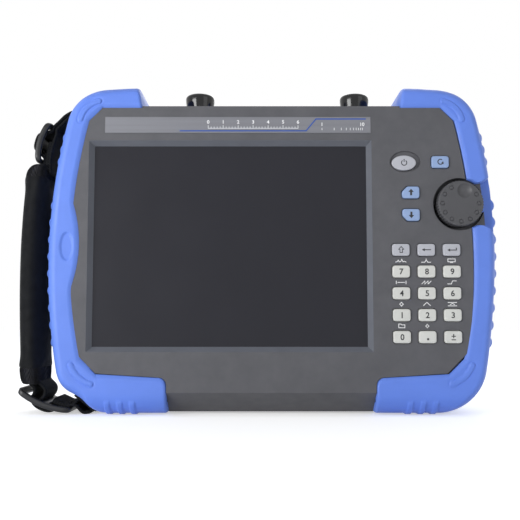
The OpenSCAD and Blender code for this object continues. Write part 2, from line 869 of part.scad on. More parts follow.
// Pocket of a strap anchor: room for the bar and the webbing, open at the corner of the case
module anchor_pocket(anchor, a, side, room) {
    half_w = web_w / 2 + strap_side + side;
    translate([anchor[0], strap_y, anchor[1]]) rotate([0, a, 0])
        block(-far / 8, room, -half_w, half_w, -room, room);
}

module front_case() {
    color([0.33, 0.33, 0.34]) difference() {
        union() {
            difference() {
                intersection() {
                    case_solid(0);
                    slab_y(-far, split_y0);
                }
                case_hollow();
            }
            intersection() {
                case_solid(0);
                slab_y(-far, split_y0);
                union() {
                    rod_y(well_r + well_wall, front_y - 1, well_back_y, knob_x, knob_z);
                    for (a = ANCHORS)
                        anchor_pocket(a[0], a[1], anchor_wall + anchor_end, anchor_room / 2 + anchor_wall);
                    block(
                        port_x - cover_l / 2 - pocket_wall, port_x + cover_l / 2 + pocket_wall,
                        cover_y - cover_w / 2 - pocket_wall, cover_y + cover_w / 2 + pocket_wall,
                        pocket_z - pocket_floor_t, case_z1
                    );
                    for (p = POSTS) rod_y(post_r, front_y + 1, split_y0, p[0], p[1]);
                    for (p = MAIN_BOSSES) rod_y(main_boss_r, front_y + 1, main_board_y, p[0], p[1]);
                    for (p = KEY_BOSSES) rod_y(key_boss_r, front_y + 1, key_board_y, p[0], p[1]);
                }
            }
        }
        screen_cut();
        for (k = KEYS) at_key(k) along_y(front_y - 1, front_y + face_t + 1) key_outline(k[3], key_gap);
        power_dish();
        plate_seat();
        rod_y(well_r, front_y - far / 8, well_y, knob_x, knob_z);
        rod_y(bushing_r + run_gap, well_y - 1, well_back_y + 1, knob_x, knob_z);
        for (x = JACK_X) translate([x, jack_y, case_z1 - wall - 1])
            cylinder(h = wall + 2, r = jack_r + fit_gap);
        for (a = ANCHORS) anchor_pocket(a[0], a[1], 0, anchor_room / 2);
        for (a = ANCHORS)
            rod_y(anchor_r + run_gap, anchor_y0, anchor_y1, a[0][0], a[0][1]);
        port_pocket();
        for (p = POSTS)
            rod_y(post_screw_r + run_gap, split_y0 - post_screw_l / 2, split_y0 + 1, p[0], p[1]);
        for (p = MAIN_BOSSES)
            rod_y(board_screw_r + run_gap, main_board_y - board_screw_l, main_board_y + 1, p[0], p[1]);
        for (p = KEY_BOSSES)
            rod_y(small_screw_r + run_gap, key_board_y - small_screw_l, key_board_y + 1, p[0], p[1]);
    }
}

// Shallow dish round the power key, drawn up and to the right of it
module power_dish() {
    grow = 2;
    depth = 1.2;
    shift = 1;
    for (k = KEYS) if (k[3] == "oval") translate([shift, 0, shift]) at_key(k)
        along_y(front_y - 1, front_y + depth) oval(power_w / 2 + grow, power_h / 2 + grow);
}

module plate_seat() {
    block(
        plate_x - plate_w / 2 - fit_gap, plate_x + plate_w / 2 + fit_gap,
        front_y - 1, front_y + plate_sunk,
        plate_z - plate_h / 2 - fit_gap, plate_z + plate_h / 2 + fit_gap
    );
}

// Sunk pocket of the port cover, the mouths of the ports and the holes of the hinge pins
module port_pocket() {
    half_l = cover_l / 2 + cover_gap;
    half_w = cover_w / 2 + cover_gap;
    block(port_x - half_l, port_x + half_l, cover_y - half_w, cover_y + half_w, pocket_z, case_z1 + 1);
    rod_x(
        cover_pin_r + run_gap, port_x - half_l - cover_pin_l, port_x + half_l + cover_pin_l,
        cover_hinge_y, cover_hinge_z
    );
    z0 = pocket_z - pocket_floor_t - 1;
    g = fit_gap;
    block(usb_x - usb_w / 2 - g, usb_x + usb_w / 2 + g, port_y(usb_d) - g, port_y(-usb_d) + g,
        z0, pocket_z + 1);
    block(lan_x - lan_w / 2 - g, lan_x + lan_w / 2 + g, port_y(lan_d) - g, port_y(-lan_d) + g,
        z0, pocket_z + 1);
    translate([dc_x, port_y(0), z0]) cylinder(h = pocket_floor_t + 2, r = dc_r + g);
}

module rear_case() {
    door_half = door_half_w + door_gap;
    inner = battery_w / 2 + bay_gap;
    bay_low = bay_z - battery_h / 2 - bay_gap;
    bay_high = bay_z + battery_h / 2 + bay_gap;
    color([0.31, 0.31, 0.32]) difference() {
        union() {
            difference() {
                intersection() {
                    case_solid(0);
                    slab_y(split_y1, far);
                }
                case_hollow();
            }
            intersection() {
                case_solid(0);
                union() {
                    block(-inner - bay_wall, inner + bay_wall, bay_floor_y, back_y,
                        bay_low - bay_wall, bay_high + bay_wall);
                    block(-door_half - bay_wall, door_half + bay_wall, door_y - door_backing, back_y,
                        door_z0 - bay_wall, door_z1 + bay_wall);
                    for (x = [-1, 1])
                        rod_y(post_r, door_y - door_screw_l - 1, back_y, x * door_screw_x, door_screw_z);
                    along_y(stand_floor_y - stand_backing, back_y) stand_outline(stand_gap + stand_backing);
                    for (x = [-1, 1]) stand_ear(x);
                    for (p = POSTS) rod_y(post_r, split_y1, back_y, p[0], p[1]);
                }
            }
        }
        block(-inner, inner, bay_floor_y + bay_wall, far, bay_low, bay_high);
        block(-door_half, door_half, door_y, far, door_z0 - door_gap, door_z1 + door_gap);
        for (x = [-1, 1])
            rod_y(door_screw_r + run_gap, door_y - door_screw_l, far / 4, x * door_screw_x, door_screw_z);
        along_y(stand_floor_y, far) stand_outline(stand_gap);
        rod_x(
            stand_pin_r + run_gap, -stand_w / 2 - stand_leg / 2 - stand_gap - stand_pin_l,
            stand_w / 2 + stand_leg / 2 + stand_gap + stand_pin_l, stand_y, stand_z
        );
        finger_scoop();
        for (p = POSTS) {
            rod_y(post_screw_r + run_gap, split_y1 - 1, far / 4, p[0], p[1]);
            rod_y(post_screw_head_r + 2 * fit_gap, back_y - post_screw_sunk, far / 4, p[0], p[1]);
        }
        vents(fan_x);
        vents(-fan_x);
    }
}

// U of the tilt stand seen from behind, grown by g
module stand_outline(g) {
    out = stand_w / 2 + stand_leg / 2 + g;
    in = stand_w / 2 - stand_leg / 2 - g;
    top = stand_z + stand_t / 2 + g;
    difference() {
        translate([-out, stand_foot_z - g]) square([2 * out, top - stand_foot_z + g]);
        translate([-in, stand_foot_z + stand_bar + g]) square([2 * in, far]);
    }
}

// Thick wall that holds a hinge pin of the tilt stand
module stand_ear(side) {
    x0 = stand_w / 2 + stand_leg / 2 + stand_gap;
    x1 = x0 + stand_pin_l + stand_backing;
    block(min(side * x0, side * x1), max(side * x0, side * x1),
        stand_floor_y - stand_backing, back_y, stand_z - 2 * stand_pin_l, stand_z + 2 * stand_pin_l);
}

// Hollow over the bar of the tilt stand, for a finger
module finger_scoop() {
    half_w = 13;
    z = stand_foot_z + stand_bar;
    block(-half_w, half_w, stand_floor_y + 1, far, z - 1, door_z0 - bay_wall);
}

// Rows of slots through the back wall
module vents(x) {
    slot_l = fan_w - 8;
    for (k = [-vent_rows : vent_rows])
        block(x - slot_l / 2, x + slot_l / 2, back_y - wall - 1, far,
            fan_z + k * vent_pitch - vent_h / 2, fan_z + k * vent_pitch + vent_h / 2);
}

module case_seal() {
    inset = 0.4;
    color([0.08, 0.08, 0.09]) difference() {
        intersection() {
            case_solid(inset);
            slab_y(split_y0, split_y1);
        }
        case_solid(wall - inset);
        for (p = POSTS) rod_y(post_r, split_y0 - 1, split_y1 + 1, p[0], p[1]);
    }
}

// Outer skin of both bumpers: their outline with rounded front and back edges
module bumper_skin() {
    hull() for (a = [0, 18, 36, 54, 72, 90]) {
        inset = bumper_round * (1 - cos(a));
        back = bumper_round_d * (1 - sin(a));
        along_y(bumper_front_y + back, bumper_front_y + back + sliver)
            polygon(both_sides(bumper_half(inset)));
        along_y(bumper_back_y - back - sliver, bumper_back_y - back)
            polygon(both_sides(bumper_half(inset)));
    }
}

// Right half bumper with its ribs, before the knob notch or the strap slots
module bumper_half_solid() {
    difference() {
        union() {
            intersection() {
                bumper_skin();
                along_x(-far, far) polygon(concat(
                    under_edge(0, 0),
                    [[far, bumper_z0], [far, far], [bumper_front_y - 1, far], [bumper_front_y - 1, barrel_z]]
                ));
                along_y(-far, far) polygon([
                    [arm_low_x, -far], [far, -far], [far, far], [arm_top_x + arm_lean, far],
                    [arm_top_x + arm_lean, bumper_z1], [arm_top_x, case_z1], [arm_low_x, barrel_z]
                ]);
            }
            for (z = side_ribs())
                rod_y(side_rib_r, -side_rib_l / 2, side_rib_l / 2,
                    side_x(bumper_half_w, bumper_barrel_r, z) + side_rib_proud - side_rib_r, z);
            for (k = [-1, 0, 1])
                along_x(foot_x(k) - foot_w / 2, foot_x(k) + foot_w / 2) polygon(concat(
                    under_edge(rib_h, foot_from_a),
                    [[foot_back_y, 0], [foot_back_y, seat], [front_y + seat, under_h]]
                ));
        }
        case_solid(-fit_gap);
        along_y(-far, front_y + seat + 1) free_face(-fit_gap, false);
        along_y(back_y - seat - 1, far) free_face(-fit_gap, false);
    }
}

// Thumb pad of the left bumper, a flat bulge over the edge of the front face
module left_bulge() {
    along_y(bumper_front_y, front_y + seat - fit_gap) intersection() {
        free_face(-1, false);
        translate([bulge_x - bulge_r, bulge_z]) circle(r = bulge_r - fit_gap, $fn = wide_fn);
    }
}

module left_bumper() {
    color([0.35, 0.52, 0.93]) difference() {
        union() {
            mirror([1, 0, 0]) bumper_half_solid();
            left_bulge();
        }
        for (a = ANCHORS) anchor_pocket(a[0], a[1], 0, slot_w / 2);
        translate([bulge_x - thumb_left, 0, bulge_z - thumb_low])
            along_y(-far, bumper_front_y + thumb_d) oval(thumb_w / 2, thumb_h / 2);
    }
}

module right_bumper() {
    color([0.35, 0.52, 0.93]) difference() {
        bumper_half_solid();
        block(knob_x, far, -far, front_y + notch_d, knob_z - notch_h / 2, knob_z + notch_h / 2);
        rod_y(well_r, -far, front_y + notch_d, knob_x, knob_z);
    }
}

module name_plate() {
    color([0.58, 0.58, 0.6])
        block(
            plate_x - plate_w / 2, plate_x + plate_w / 2,
            front_y + plate_sunk - plate_t, front_y + plate_sunk,
            plate_z - plate_h / 2, plate_z + plate_h / 2
        );
}

module screen_sheet(y, t) {
    w = screen_w / 2 + glass_rim;
    h = screen_h / 2 + glass_rim;
    block(screen_x - w, screen_x + w, y, y + t, screen_z - h, screen_z + h);
}

module touch_panel() {
    color([0.2, 0.2, 0.23]) screen_sheet(glass_y, glass_t);
}

module lcd_module() {
    color([0.12, 0.12, 0.13]) screen_sheet(lcd_y, lcd_t);
}

// Sheet behind the keys, cut away round the knob's well, with holes for the bosses of radius r
module key_sheet(y0, y1, r) {
    along_y(y0, y1) difference() {
        translate([key_board_x0, key_board_z0])
            square([key_board_x1 - key_board_x0, key_board_z1 - key_board_z0]);
        translate([knob_x, knob_z]) circle(r = well_r + well_wall + 1);
        for (p = KEY_BOSSES) translate(p) circle(r = r);
    }
}

module keypad_mat() {
    color([0.75, 0.75, 0.76]) union() {
        key_sheet(mat_y, mat_y + mat_t, key_boss_r + fit_gap);
        for (k = KEYS) rod_y(key_stem_r + 0.8, mat_y - mat_pad_t, mat_y + sliver, k[1], k[2]);
    }
}

module keypad_board() {
    color([0.1, 0.36, 0.2]) key_sheet(key_board_y, key_board_y + board_t, small_screw_r + run_gap);
}

module encoder() {
    color([0.55, 0.56, 0.58]) difference() {
        union() {
            translate([knob_x, well_back_y + encoder_t / 2, knob_z])
                cube([encoder_w, encoder_t, encoder_w], center = true);
            rod_y(bushing_r, bushing_y, well_back_y + 1, knob_x, knob_z);
            rod_y(encoder_nut_r, well_y - encoder_nut_t, well_y, knob_x, knob_z, $fn = 6);
        }
        rod_y(shaft_r + run_gap, bushing_y - 1, well_back_y + encoder_t - 1, knob_x, knob_z);
    }
}

module encoder_shaft() {
    color([0.7, 0.7, 0.72]) rod_y(shaft_r, shaft_front_y, well_back_y + encoder_t - 1.2, knob_x, knob_z);
}

// Knob with a ridged rim, a ring of dots that leaves out two places and a finger dimple
module tuning_knob() {
    ridges = 48;
    ridge_r = 0.5;
    dot_r = 1.1;
    dot_ring = knob_r - 3.2;
    dimple_r = 9;
    dimple_d = 1.5;
    dimple_at = knob_r - 6.4;
    dimple_a = 73;
    rim = 1;
    color([0.33, 0.33, 0.34]) difference() {
        translate([knob_x, 0, knob_z]) union() {
            rod_y(knob_r - rim, knob_front_y, knob_back_y, 0, 0);
            rod_y(knob_r, knob_front_y + rim, knob_back_y, 0, 0);
            for (k = [0 : 9]) rod_y(dot_r, knob_front_y - knob_dot_proud, knob_front_y + 1,
                dot_ring * cos(120 + 30 * k), dot_ring * sin(120 + 30 * k));
        }
        translate([knob_x, 0, knob_z]) {
            for (k = [0 : ridges - 1]) rod_y(ridge_r, knob_front_y - 1, knob_back_y - 1.5,
                knob_r * cos(360 * k / ridges), knob_r * sin(360 * k / ridges));
            rotate([0, -dimple_a, 0]) translate([dimple_at, knob_front_y + dimple_d - dimple_r, 0])
                sphere(r = dimple_r);
            rod_y(knob_hollow_r, knob_hub_y, knob_back_y + 1, 0, 0);
            rod_y(shaft_r + sliver, shaft_front_y, knob_back_y + 1, 0, 0);
        }
    }
}

module main_board() {
    color([0.08, 0.32, 0.2]) difference() {
        block(-main_board_half_w, main_board_half_w, main_board_y, main_board_y + board_t,
            main_board_z0, main_board_z1);
        for (p = MAIN_BOSSES)
            rod_y(board_screw_r + run_gap, main_board_y - 1, main_board_y + board_t + 1, p[0], p[1]);
    }
}

// Screened radio module with a screwed coaxial socket under each jack
module rf_module() {
    y0 = main_board_y + board_t;
    color([0.72, 0.73, 0.75]) union() {
        block(-jack_left - module_margin, jack_right + module_margin, y0, y0 + module_t,
            module_z0, module_z0 + module_h);
        for (x = JACK_X) translate([x, jack_y, module_z0 + module_h - sliver])
            cylinder(h = coax_nut_l, r = coax_nut_r, $fn = 6);
    }
}

module coax_links() {
    z0 = module_z0 + module_h + coax_nut_l;
    color([0.75, 0.6, 0.35]) for (x = JACK_X) translate([x, jack_y, z0])
        cylinder(h = jack_tail_z - z0, r = coax_r);
}

// Threaded jack through the top wall, with a flange inside, a bore and a centre pin
module jack(x) {
    flange_z = case_z1 - wall;
    top_z = case_z1 + jack_h;
    translate([x, jack_y, 0]) rotate_extrude() polygon([
        [0, jack_tail_z],
        [jack_body_r, jack_tail_z],
        [jack_body_r, flange_z - jack_flange_t],
        [jack_flange_r, flange_z - jack_flange_t],
        [jack_flange_r, flange_z],
        [jack_r, flange_z],
        [jack_r, top_z],
        [jack_bore_r, top_z],
        [jack_bore_r, top_z - jack_bore_d],
        [jack_pin_r, top_z - jack_bore_d],
        [jack_pin_r, top_z - 3],
        [0, top_z - 3]
    ]);
}

module input_jack() {
    color([0.8, 0.78, 0.72]) jack(jack_right);
}

module output_jack() {
    color([0.8, 0.78, 0.72]) jack(-jack_left);
}

module jack_nuts() {
    color([0.8, 0.78, 0.72]) for (x = JACK_X) translate([x, jack_y, case_z1]) difference() {
        cylinder(h = nut_t, r = nut_across / sqrt(3), $fn = 6);
        translate([0, 0, -1]) cylinder(h = nut_t + 2, r = jack_r + run_gap);
    }
}

// Dust cap that flares upwards to a rounded top
module cap(x) {
    r = cap_d / 2;
    round_r = 2.6;
    waist = r - 1.2;
    dent = 0.8;
    color([0.05, 0.05, 0.06]) translate([x, jack_y, 0]) rotate_extrude() polygon(concat(
        [
            [0, cap_bore_z],
            [cap_bore_r, cap_bore_z],
            [cap_bore_r, cap_z0],
            [waist, cap_z0],
            [waist, cap_z0 + 4]
        ],
        arc([r - round_r, cap_z1 - round_r], round_r, 0, 90, 5),
        [[r - round_r - 2, cap_z1], [r - round_r - 3, cap_z1 - dent], [0, cap_z1 - dent]]
    ));
}

module input_cap() {
    cap(jack_right);
}

module output_cap() {
    cap(-jack_left);
}

// Lid with a round hinge barrel along its back edge and a pin at each end
module port_cover() {
    x0 = port_x - cover_l / 2;
    x1 = port_x + cover_l / 2;
    z1 = case_z1 - cover_sunk;
    color([0.2, 0.2, 0.21]) union() {
        block(x0, x1, cover_y - cover_w / 2, cover_hinge_y, z1 - cover_t, z1);
        rod_x(cover_barrel_r, x0, x1, cover_hinge_y, cover_hinge_z);
        rod_x(cover_pin_r, x0 - cover_pin_l, x1 + cover_pin_l, cover_hinge_y, cover_hinge_z);
    }
}

// Port with a rectangular mouth that faces up
module box_port(x, w, d) {
    z0 = pocket_z - port_depth;
    difference() {
        block(x - w / 2, x + w / 2, port_y(d), port_y(-d), z0, pocket_z);
        block(x - w / 2 + port_shell, x + w / 2 - port_shell,
            port_y(d) + port_shell, port_y(-d) - port_shell, z0 + 2, pocket_z + 1);
    }
}

module usb_port() {
    color([0.75, 0.76, 0.78]) box_port(usb_x, usb_w, usb_d);
}

module lan_port() {
    color([0.68, 0.69, 0.7]) box_port(lan_x, lan_w, lan_d);
}

module dc_jack() {
    color([0.1, 0.1, 0.1]) translate([dc_x, port_y(0), pocket_z - port_depth]) difference() {
        cylinder(h = port_depth, r = dc_r);
        difference() {
            translate([0, 0, 3]) cylinder(h = port_depth, r = dc_bore_r);
            cylinder(h = port_depth - 1, r = dc_pin_r);
        }
    }
}

module battery_pack() {
    color([0.12, 0.13, 0.16])
        block(-battery_w / 2, battery_w / 2, battery_y0, battery_y0 + battery_t,
            bay_z - battery_h / 2, bay_z + battery_h / 2);
}

module battery_door() {
    color([0.31, 0.31, 0.32]) difference() {
        block(-door_half_w, door_half_w, door_y, back_y, door_z0, door_z1);
        for (x = [-1, 1]) {
            rod_y(door_screw_r + run_gap, door_y - 1, far / 4, x * door_screw_x, door_screw_z);
            rod_y(door_screw_head_r + fit_gap, back_y - door_screw_head_t, far / 4,
                x * door_screw_x, door_screw_z);
        }
    }
}

// Screw along Y with its head towards the back; the head's seat is at y
module screw(x, z, y, r, l, head_r, head_t) {
    slot_w = head_t / 3;
    difference() {
        union() {
            rod_y(r, y - l, y + sliver, x, z);
            rod_y(head_r, y, y + head_t, x, z);
        }
        for (a = [0, 90]) translate([x, y + head_t, z]) rotate([0, a, 0])
            cube([1.3 * head_r, head_t, slot_w], center = true);
    }
}

module door_screws() {
    color([0.7, 0.7, 0.72]) for (x = [-1, 1])
        screw(x * door_screw_x, door_screw_z, back_y - door_screw_head_t, door_screw_r, door_screw_l - 1,
            door_screw_head_r, door_screw_head_t);
}

module case_screws() {
    color([0.25, 0.25, 0.26]) for (p = POSTS)
        screw(p[0], p[1], back_y - post_screw_sunk, post_screw_r, post_screw_l,
            post_screw_head_r, post_screw_head_t);
}

module board_screws() {
    color([0.7, 0.7, 0.72]) {
        for (p = MAIN_BOSSES)
            screw(p[0], p[1], main_board_y + board_t, board_screw_r, board_screw_l,
                board_screw_head_r, board_screw_head_t);
        for (p = KEY_BOSSES)
            screw(p[0], p[1], key_board_y + board_t, small_screw_r, small_screw_l, key_boss_r, small_head_t);
    }
}

// U-shaped stand in the back, with hinge pins at the tops of its legs
module tilt_stand() {
    out = stand_w / 2 + stand_leg / 2;
    color([0.24, 0.24, 0.25]) union() {
        intersection() {
            along_y(stand_y - stand_t / 2, stand_y + stand_t / 2) stand_outline(0);
            block(-far, far, -far, far, -far, stand_z);
        }
        for (x = [-1, 1]) {
            rod_x(stand_t / 2, x * stand_w / 2 - stand_leg / 2, x * stand_w / 2 + stand_leg / 2,
                stand_y, stand_z);
            rod_x(stand_pin_r, x * out - stand_pin_l - stand_gap, x * out + stand_pin_l + stand_gap,
                stand_y, stand_z);
        }
    }
}

// Square frame with a round duct and three struts that hold the rotor's bearing
module fan_frame() {
    color([0.1, 0.1, 0.11]) translate([fan_x, 0, fan_z]) difference() {
        union() {
            along_y(fan_y0, fan_y1) difference() {
                square([fan_w, fan_w], center = true);
                circle(r = fan_bore_r);
            }
            rod_y(fan_hub_r, fan_y0, fan_y0 + fan_spider_t, 0, 0);
            for (k = [0 : 2]) rotate([0, 120 * k, 0])
                block(0, fan_bore_r + 0.5, fan_y0, fan_y0 + fan_spider_t, -1.5, 1.5);
        }
        rod_y(fan_axle_r + run_gap, fan_y0 - 1, fan_y0 + fan_spider_t + 1, 0, 0);
    }
}

module fan_rotor() {
    y0 = fan_y0 + fan_spider_t + 0.3;
    y1 = fan_y1 - 1;
    tip_r = fan_bore_r - fan_tip_gap;
    color([0.08, 0.08, 0.09]) translate([fan_x, 0, fan_z]) union() {
        rod_y(fan_hub_r, y0, y1, 0, 0);
        rod_y(fan_axle_r, fan_y0, y0 + 1, 0, 0);
        intersection() {
            rod_y(tip_r, y0, y1, 0, 0);
            union() for (k = [0 : fan_blades - 1]) rotate([0, 360 * k / fan_blades, 0])
                translate([fan_hub_r - 1, (y0 + y1) / 2, 0]) rotate([38, 0, 0])
                    block(0, fan_bore_r, -far, far, -0.6, 0.6);
        }
    }
}

module anchor_bars() {
    color([0.6, 0.6, 0.62]) for (a = ANCHORS) rod_y(anchor_r, anchor_y0, anchor_y1, a[0][0], a[0][1]);
}

// Webbing, wrapped round both anchor bars, with its two free tails
module strap_webbing() {
    bar_r = anchor_r + anchor_gap;
    color([0.07, 0.07, 0.08]) difference() {
        union() {
            along_y(strap_y0, strap_y1) polygon(band(web_path, web_t));
            for (way = [tail_path, low_tail_path]) along_y(strap_y0, strap_y1) polygon(band(way, web_t));
            for (a = ANCHORS) rod_y(bar_r + web_t, strap_y0, strap_y1, a[0][0], a[0][1]);
        }
        for (a = ANCHORS) rod_y(bar_r, strap_y0 - 1, strap_y1 + 1, a[0][0], a[0][1]);
    }
}

// Bowed plate of length l with two slots and a bar between them, at c and leaning by a degrees
module buckle(c, a, l, bow) {
    half_y = web_w / 2 + buckle_side;
    slot_y = web_w / 2 + buckle_slot_side;
    slot_end = l / 2 - buckle_end;
    color([0.05, 0.05, 0.06]) translate([c[0], strap_y, c[1]]) rotate([0, a, 0]) difference() {
        along_y(-half_y, half_y) intersection() {
            translate([bow, 0]) difference() {
                circle(r = bow + buckle_t / 2, $fn = wide_fn);
                circle(r = bow - buckle_t / 2, $fn = wide_fn);
            }
            translate([-buckle_t, -l / 2]) square([3 * buckle_t, l]);
        }
        for (side = [-1, 1])
            block(-far / 8, far / 8, -slot_y, slot_y,
                min(side * buckle_bar, side * slot_end), max(side * buckle_bar, side * slot_end));
    }
}

module upper_buckle() {
    buckle(top_buckle, top_buckle_a, top_buckle_l, top_buckle_bow);
}

module lower_buckle() {
    buckle(low_buckle, low_buckle_a, low_buckle_l, low_buckle_bow);
}

// Cross-section of the sleeve at height z: a rounded strip of half thickness tx, half width ty
module sleeve_ring(z, shift, tx, ty) {
    power = 0.5;
    translate([sleeve_x + shift, strap_y, z]) linear_extrude(height = sliver)
        polygon([for (t = [0 : 15 : 345]) [
            tx * sign(cos(t)) * pow(abs(cos(t)), power), ty * sign(sin(t)) * pow(abs(sin(t)), power)
        ]]);
}

// Room for the webbing through the padding
module web_channel() {
    along_y(strap_y0 - web_gap, strap_y1 + web_gap) polygon(band(web_path, web_t + 2 * web_gap));
}

// Padded sleeve: crowned in the middle and drawn in at both ends
module grip_sleeve() {
    tx = sleeve_t / 2;
    ty = sleeve_w / 2;
    color([0.08, 0.08, 0.09]) difference() {
        hull() for (k = [-4 : 4]) {
            s = k / 4;
            draw = sleeve_end_thin * pow(abs(s), 4);
            swell = sleeve_crown * (1 - s * s);
            sleeve_ring((sleeve_z0 + sleeve_z1) / 2 + s * (sleeve_z1 - sleeve_z0) / 2, 0,
                tx - draw, ty - sleeve_crown + swell);
        }
        web_channel();
    }
}

// Knit cuffs that close both ends of the sleeve
module grip_cuffs() {
    tx = sleeve_t / 2 - sleeve_end_thin;
    ty = sleeve_w / 2 - sleeve_crown - cuff_gap;
    color([0.1, 0.1, 0.11]) difference() {
        union() {
            hull() {
                sleeve_ring(sleeve_z1 + cuff_gap, 0, tx, ty);
                sleeve_ring(sleeve_z1 + cuff_top_l, cuff_top_shift, tx - 2 * cuff_thin, ty);
            }
            hull() {
                sleeve_ring(sleeve_z0 - cuff_gap, 0, tx, ty);
                sleeve_ring(sleeve_z0 - cuff_low_l, cuff_low_shift, tx - cuff_thin, ty);
            }
        }
        web_channel();
    }
}

place() front_case();
place() rear_case();
place() case_seal();
place() left_bumper();
place() right_bumper();
place() name_plate();
place() touch_panel();
place() lcd_module();
place() keypad_mat();
place() keypad_board();
place() encoder();
place() main_board();
place() rf_module();
place() input_jack();
place() output_jack();
place() jack_nuts();
place() coax_links();
place() battery_pack();
place() battery_door();
place() door_screws();
place() case_screws();
place() board_screws();
place() fan_frame();
place() dc_jack();
place() usb_port();
place() lan_port();
place() anchor_bars();
place() strap_webbing();
place() upper_buckle();
place() lower_buckle();
place() grip_sleeve();
place() grip_cuffs();
place() tuning_knob();
place() encoder_shaft();
place() input_cap();
place() output_cap();
place() port_cover();
place() tilt_stand();
place() fan_rotor();
for (k = KEYS) {
    place() color(key_color(k[0])) key_piece(k);
}
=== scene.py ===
# %% [markdown]
# # A handheld spectrum analyser
# This lesson dresses a finished construction model. The case, boards, jacks and screws come from
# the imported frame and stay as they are. What a mould, a loom or a printing screen gives the real
# instrument is added here: soft rubber bumpers, crowned keys, a knurled knob and a fabric strap.

# %% Load the frame
import json
import math

import bpy
import numpy as np
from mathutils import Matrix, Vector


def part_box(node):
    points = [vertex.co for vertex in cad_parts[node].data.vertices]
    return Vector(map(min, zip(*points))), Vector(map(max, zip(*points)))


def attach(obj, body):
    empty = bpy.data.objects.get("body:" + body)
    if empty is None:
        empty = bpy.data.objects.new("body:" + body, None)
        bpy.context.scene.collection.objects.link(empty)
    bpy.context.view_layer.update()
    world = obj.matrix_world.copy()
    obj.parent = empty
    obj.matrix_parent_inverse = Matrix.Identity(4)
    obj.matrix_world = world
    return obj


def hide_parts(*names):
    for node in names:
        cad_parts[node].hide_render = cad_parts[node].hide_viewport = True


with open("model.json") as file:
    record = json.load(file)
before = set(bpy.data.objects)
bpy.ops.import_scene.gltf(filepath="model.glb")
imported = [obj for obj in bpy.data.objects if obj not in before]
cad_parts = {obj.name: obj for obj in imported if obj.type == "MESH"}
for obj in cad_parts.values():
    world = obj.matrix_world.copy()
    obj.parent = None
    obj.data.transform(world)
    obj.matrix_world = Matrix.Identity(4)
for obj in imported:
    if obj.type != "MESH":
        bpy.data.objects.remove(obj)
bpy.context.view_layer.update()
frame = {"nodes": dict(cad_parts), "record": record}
scene = bpy.context.scene

# %% [markdown]
# The sizes below are in millimetres and are measured from the middle of the case, with the floor
# at zero, as on a workshop drawing. The strap moves the middle of the whole object to one side, so
# the drawing's middle is read from the two bumpers and added when a mesh is made.

# %% The drawing's middle
MM = 0.001
low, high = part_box("left_bumper")[0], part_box("right_bumper")[1]
MIDDLE = np.array([(low.x + high.x) / 2, (low.y + high.y) / 2, 0.0]) / MM
FRONT = -38.0
print("middle of the case", MIDDLE.round(3))

# %% [markdown]
# The photograph was taken from half a metre in front of the screen, some way below its middle and
# a touch to the left, with the camera tipped up by four and a half degrees. The place and the lens
# could be guessed by eye; here they were fitted to twenty points of the case, so that edges line up.

# %% Camera
def placed(name, data):
    """A new object of the given data, linked into the scene."""
    made = bpy.data.objects.new(name, data)
    scene.collection.objects.link(made)
    return made


CAMERA_AT, CAMERA_TIP = np.array([-7.4, -535.7, 62.9]), math.radians(94.5)
camera = placed("photo_camera", bpy.data.cameras.new("photo_camera"))
camera.data.sensor_width = 36.0
camera.data.lens = 52.45
camera.location = (CAMERA_AT + MIDDLE) * MM
camera.rotation_euler = (CAMERA_TIP, 0.0, 0.0)
scene.camera = camera
scene.view_settings.view_transform = "Standard"
print("camera at", [round(x, 4) for x in camera.location])

# %% [markdown]
# A product photograph like this one is lit by large soft boxes in a white room. The room is the
# world: pure white where the camera sees it or a shiny part mirrors it, and dimmer as a light, so
# that the lamps can model the shapes.

# %% White room
world = bpy.data.worlds.new("white_room")
scene.world = world
world.use_nodes = True
room = world.node_tree
room.nodes.clear()


def add(tree, kind, values=None, **settings):
    """A new shader node with its settings and the values of its input sockets."""
    made = tree.nodes.new(kind)
    for key, value in settings.items():
        setattr(made, key, value)
    for key, value in (values or {}).items():
        made.inputs[key].default_value = value
    return made


def in_view(tree):
    """The socket that is 1 for a ray from the camera, or one mirrored or let through by a surface."""
    ray = add(tree, "ShaderNodeLightPath")
    total = ray.outputs["Is Camera Ray"]
    for kind in ("Is Glossy Ray", "Is Transmission Ray"):
        larger = add(tree, "ShaderNodeMath", operation="MAXIMUM")
        tree.links.new(total, larger.inputs[0])
        tree.links.new(ray.outputs[kind], larger.inputs[1])
        total = larger.outputs[0]
    return total


dim = add(room, "ShaderNodeBackground", {"Color": (0.93, 0.96, 1.0, 1.0), "Strength": 0.53})
white = add(room, "ShaderNodeBackground", {"Color": (1.0, 1.0, 1.0, 1.0), "Strength": 1.0})
pick = add(room, "ShaderNodeMixShader")
out = add(room, "ShaderNodeOutputWorld")
room.links.new(in_view(room), pick.inputs[0])
room.links.new(dim.outputs[0], pick.inputs[1])
room.links.new(white.outputs[0], pick.inputs[2])
room.links.new(pick.outputs[0], out.inputs["Surface"])
print("world nodes", len(room.nodes))

# %% [markdown]
# Three soft boxes shape the object: a key light from the lower left, a weak fill from the right and
# a rim light from behind. Each is a square area lamp, because a large lamp gives soft shadows.

# %% Soft boxes and floor
def soft_box(name, place, aim, size, watts):
    """A square area lamp of a size in metres at a place, turned to shine at a point."""
    lamp = placed(name, bpy.data.lights.new(name, "AREA"))
    lamp.data.size = size
    lamp.data.energy = watts
    lamp.location = place
    aim = np.array(aim) - np.array(place)
    flat = math.hypot(aim[0], aim[1])
    lamp.rotation_euler = (math.atan2(flat, -aim[2]), 0.0, math.atan2(aim[1], aim[0]) - math.pi / 2)


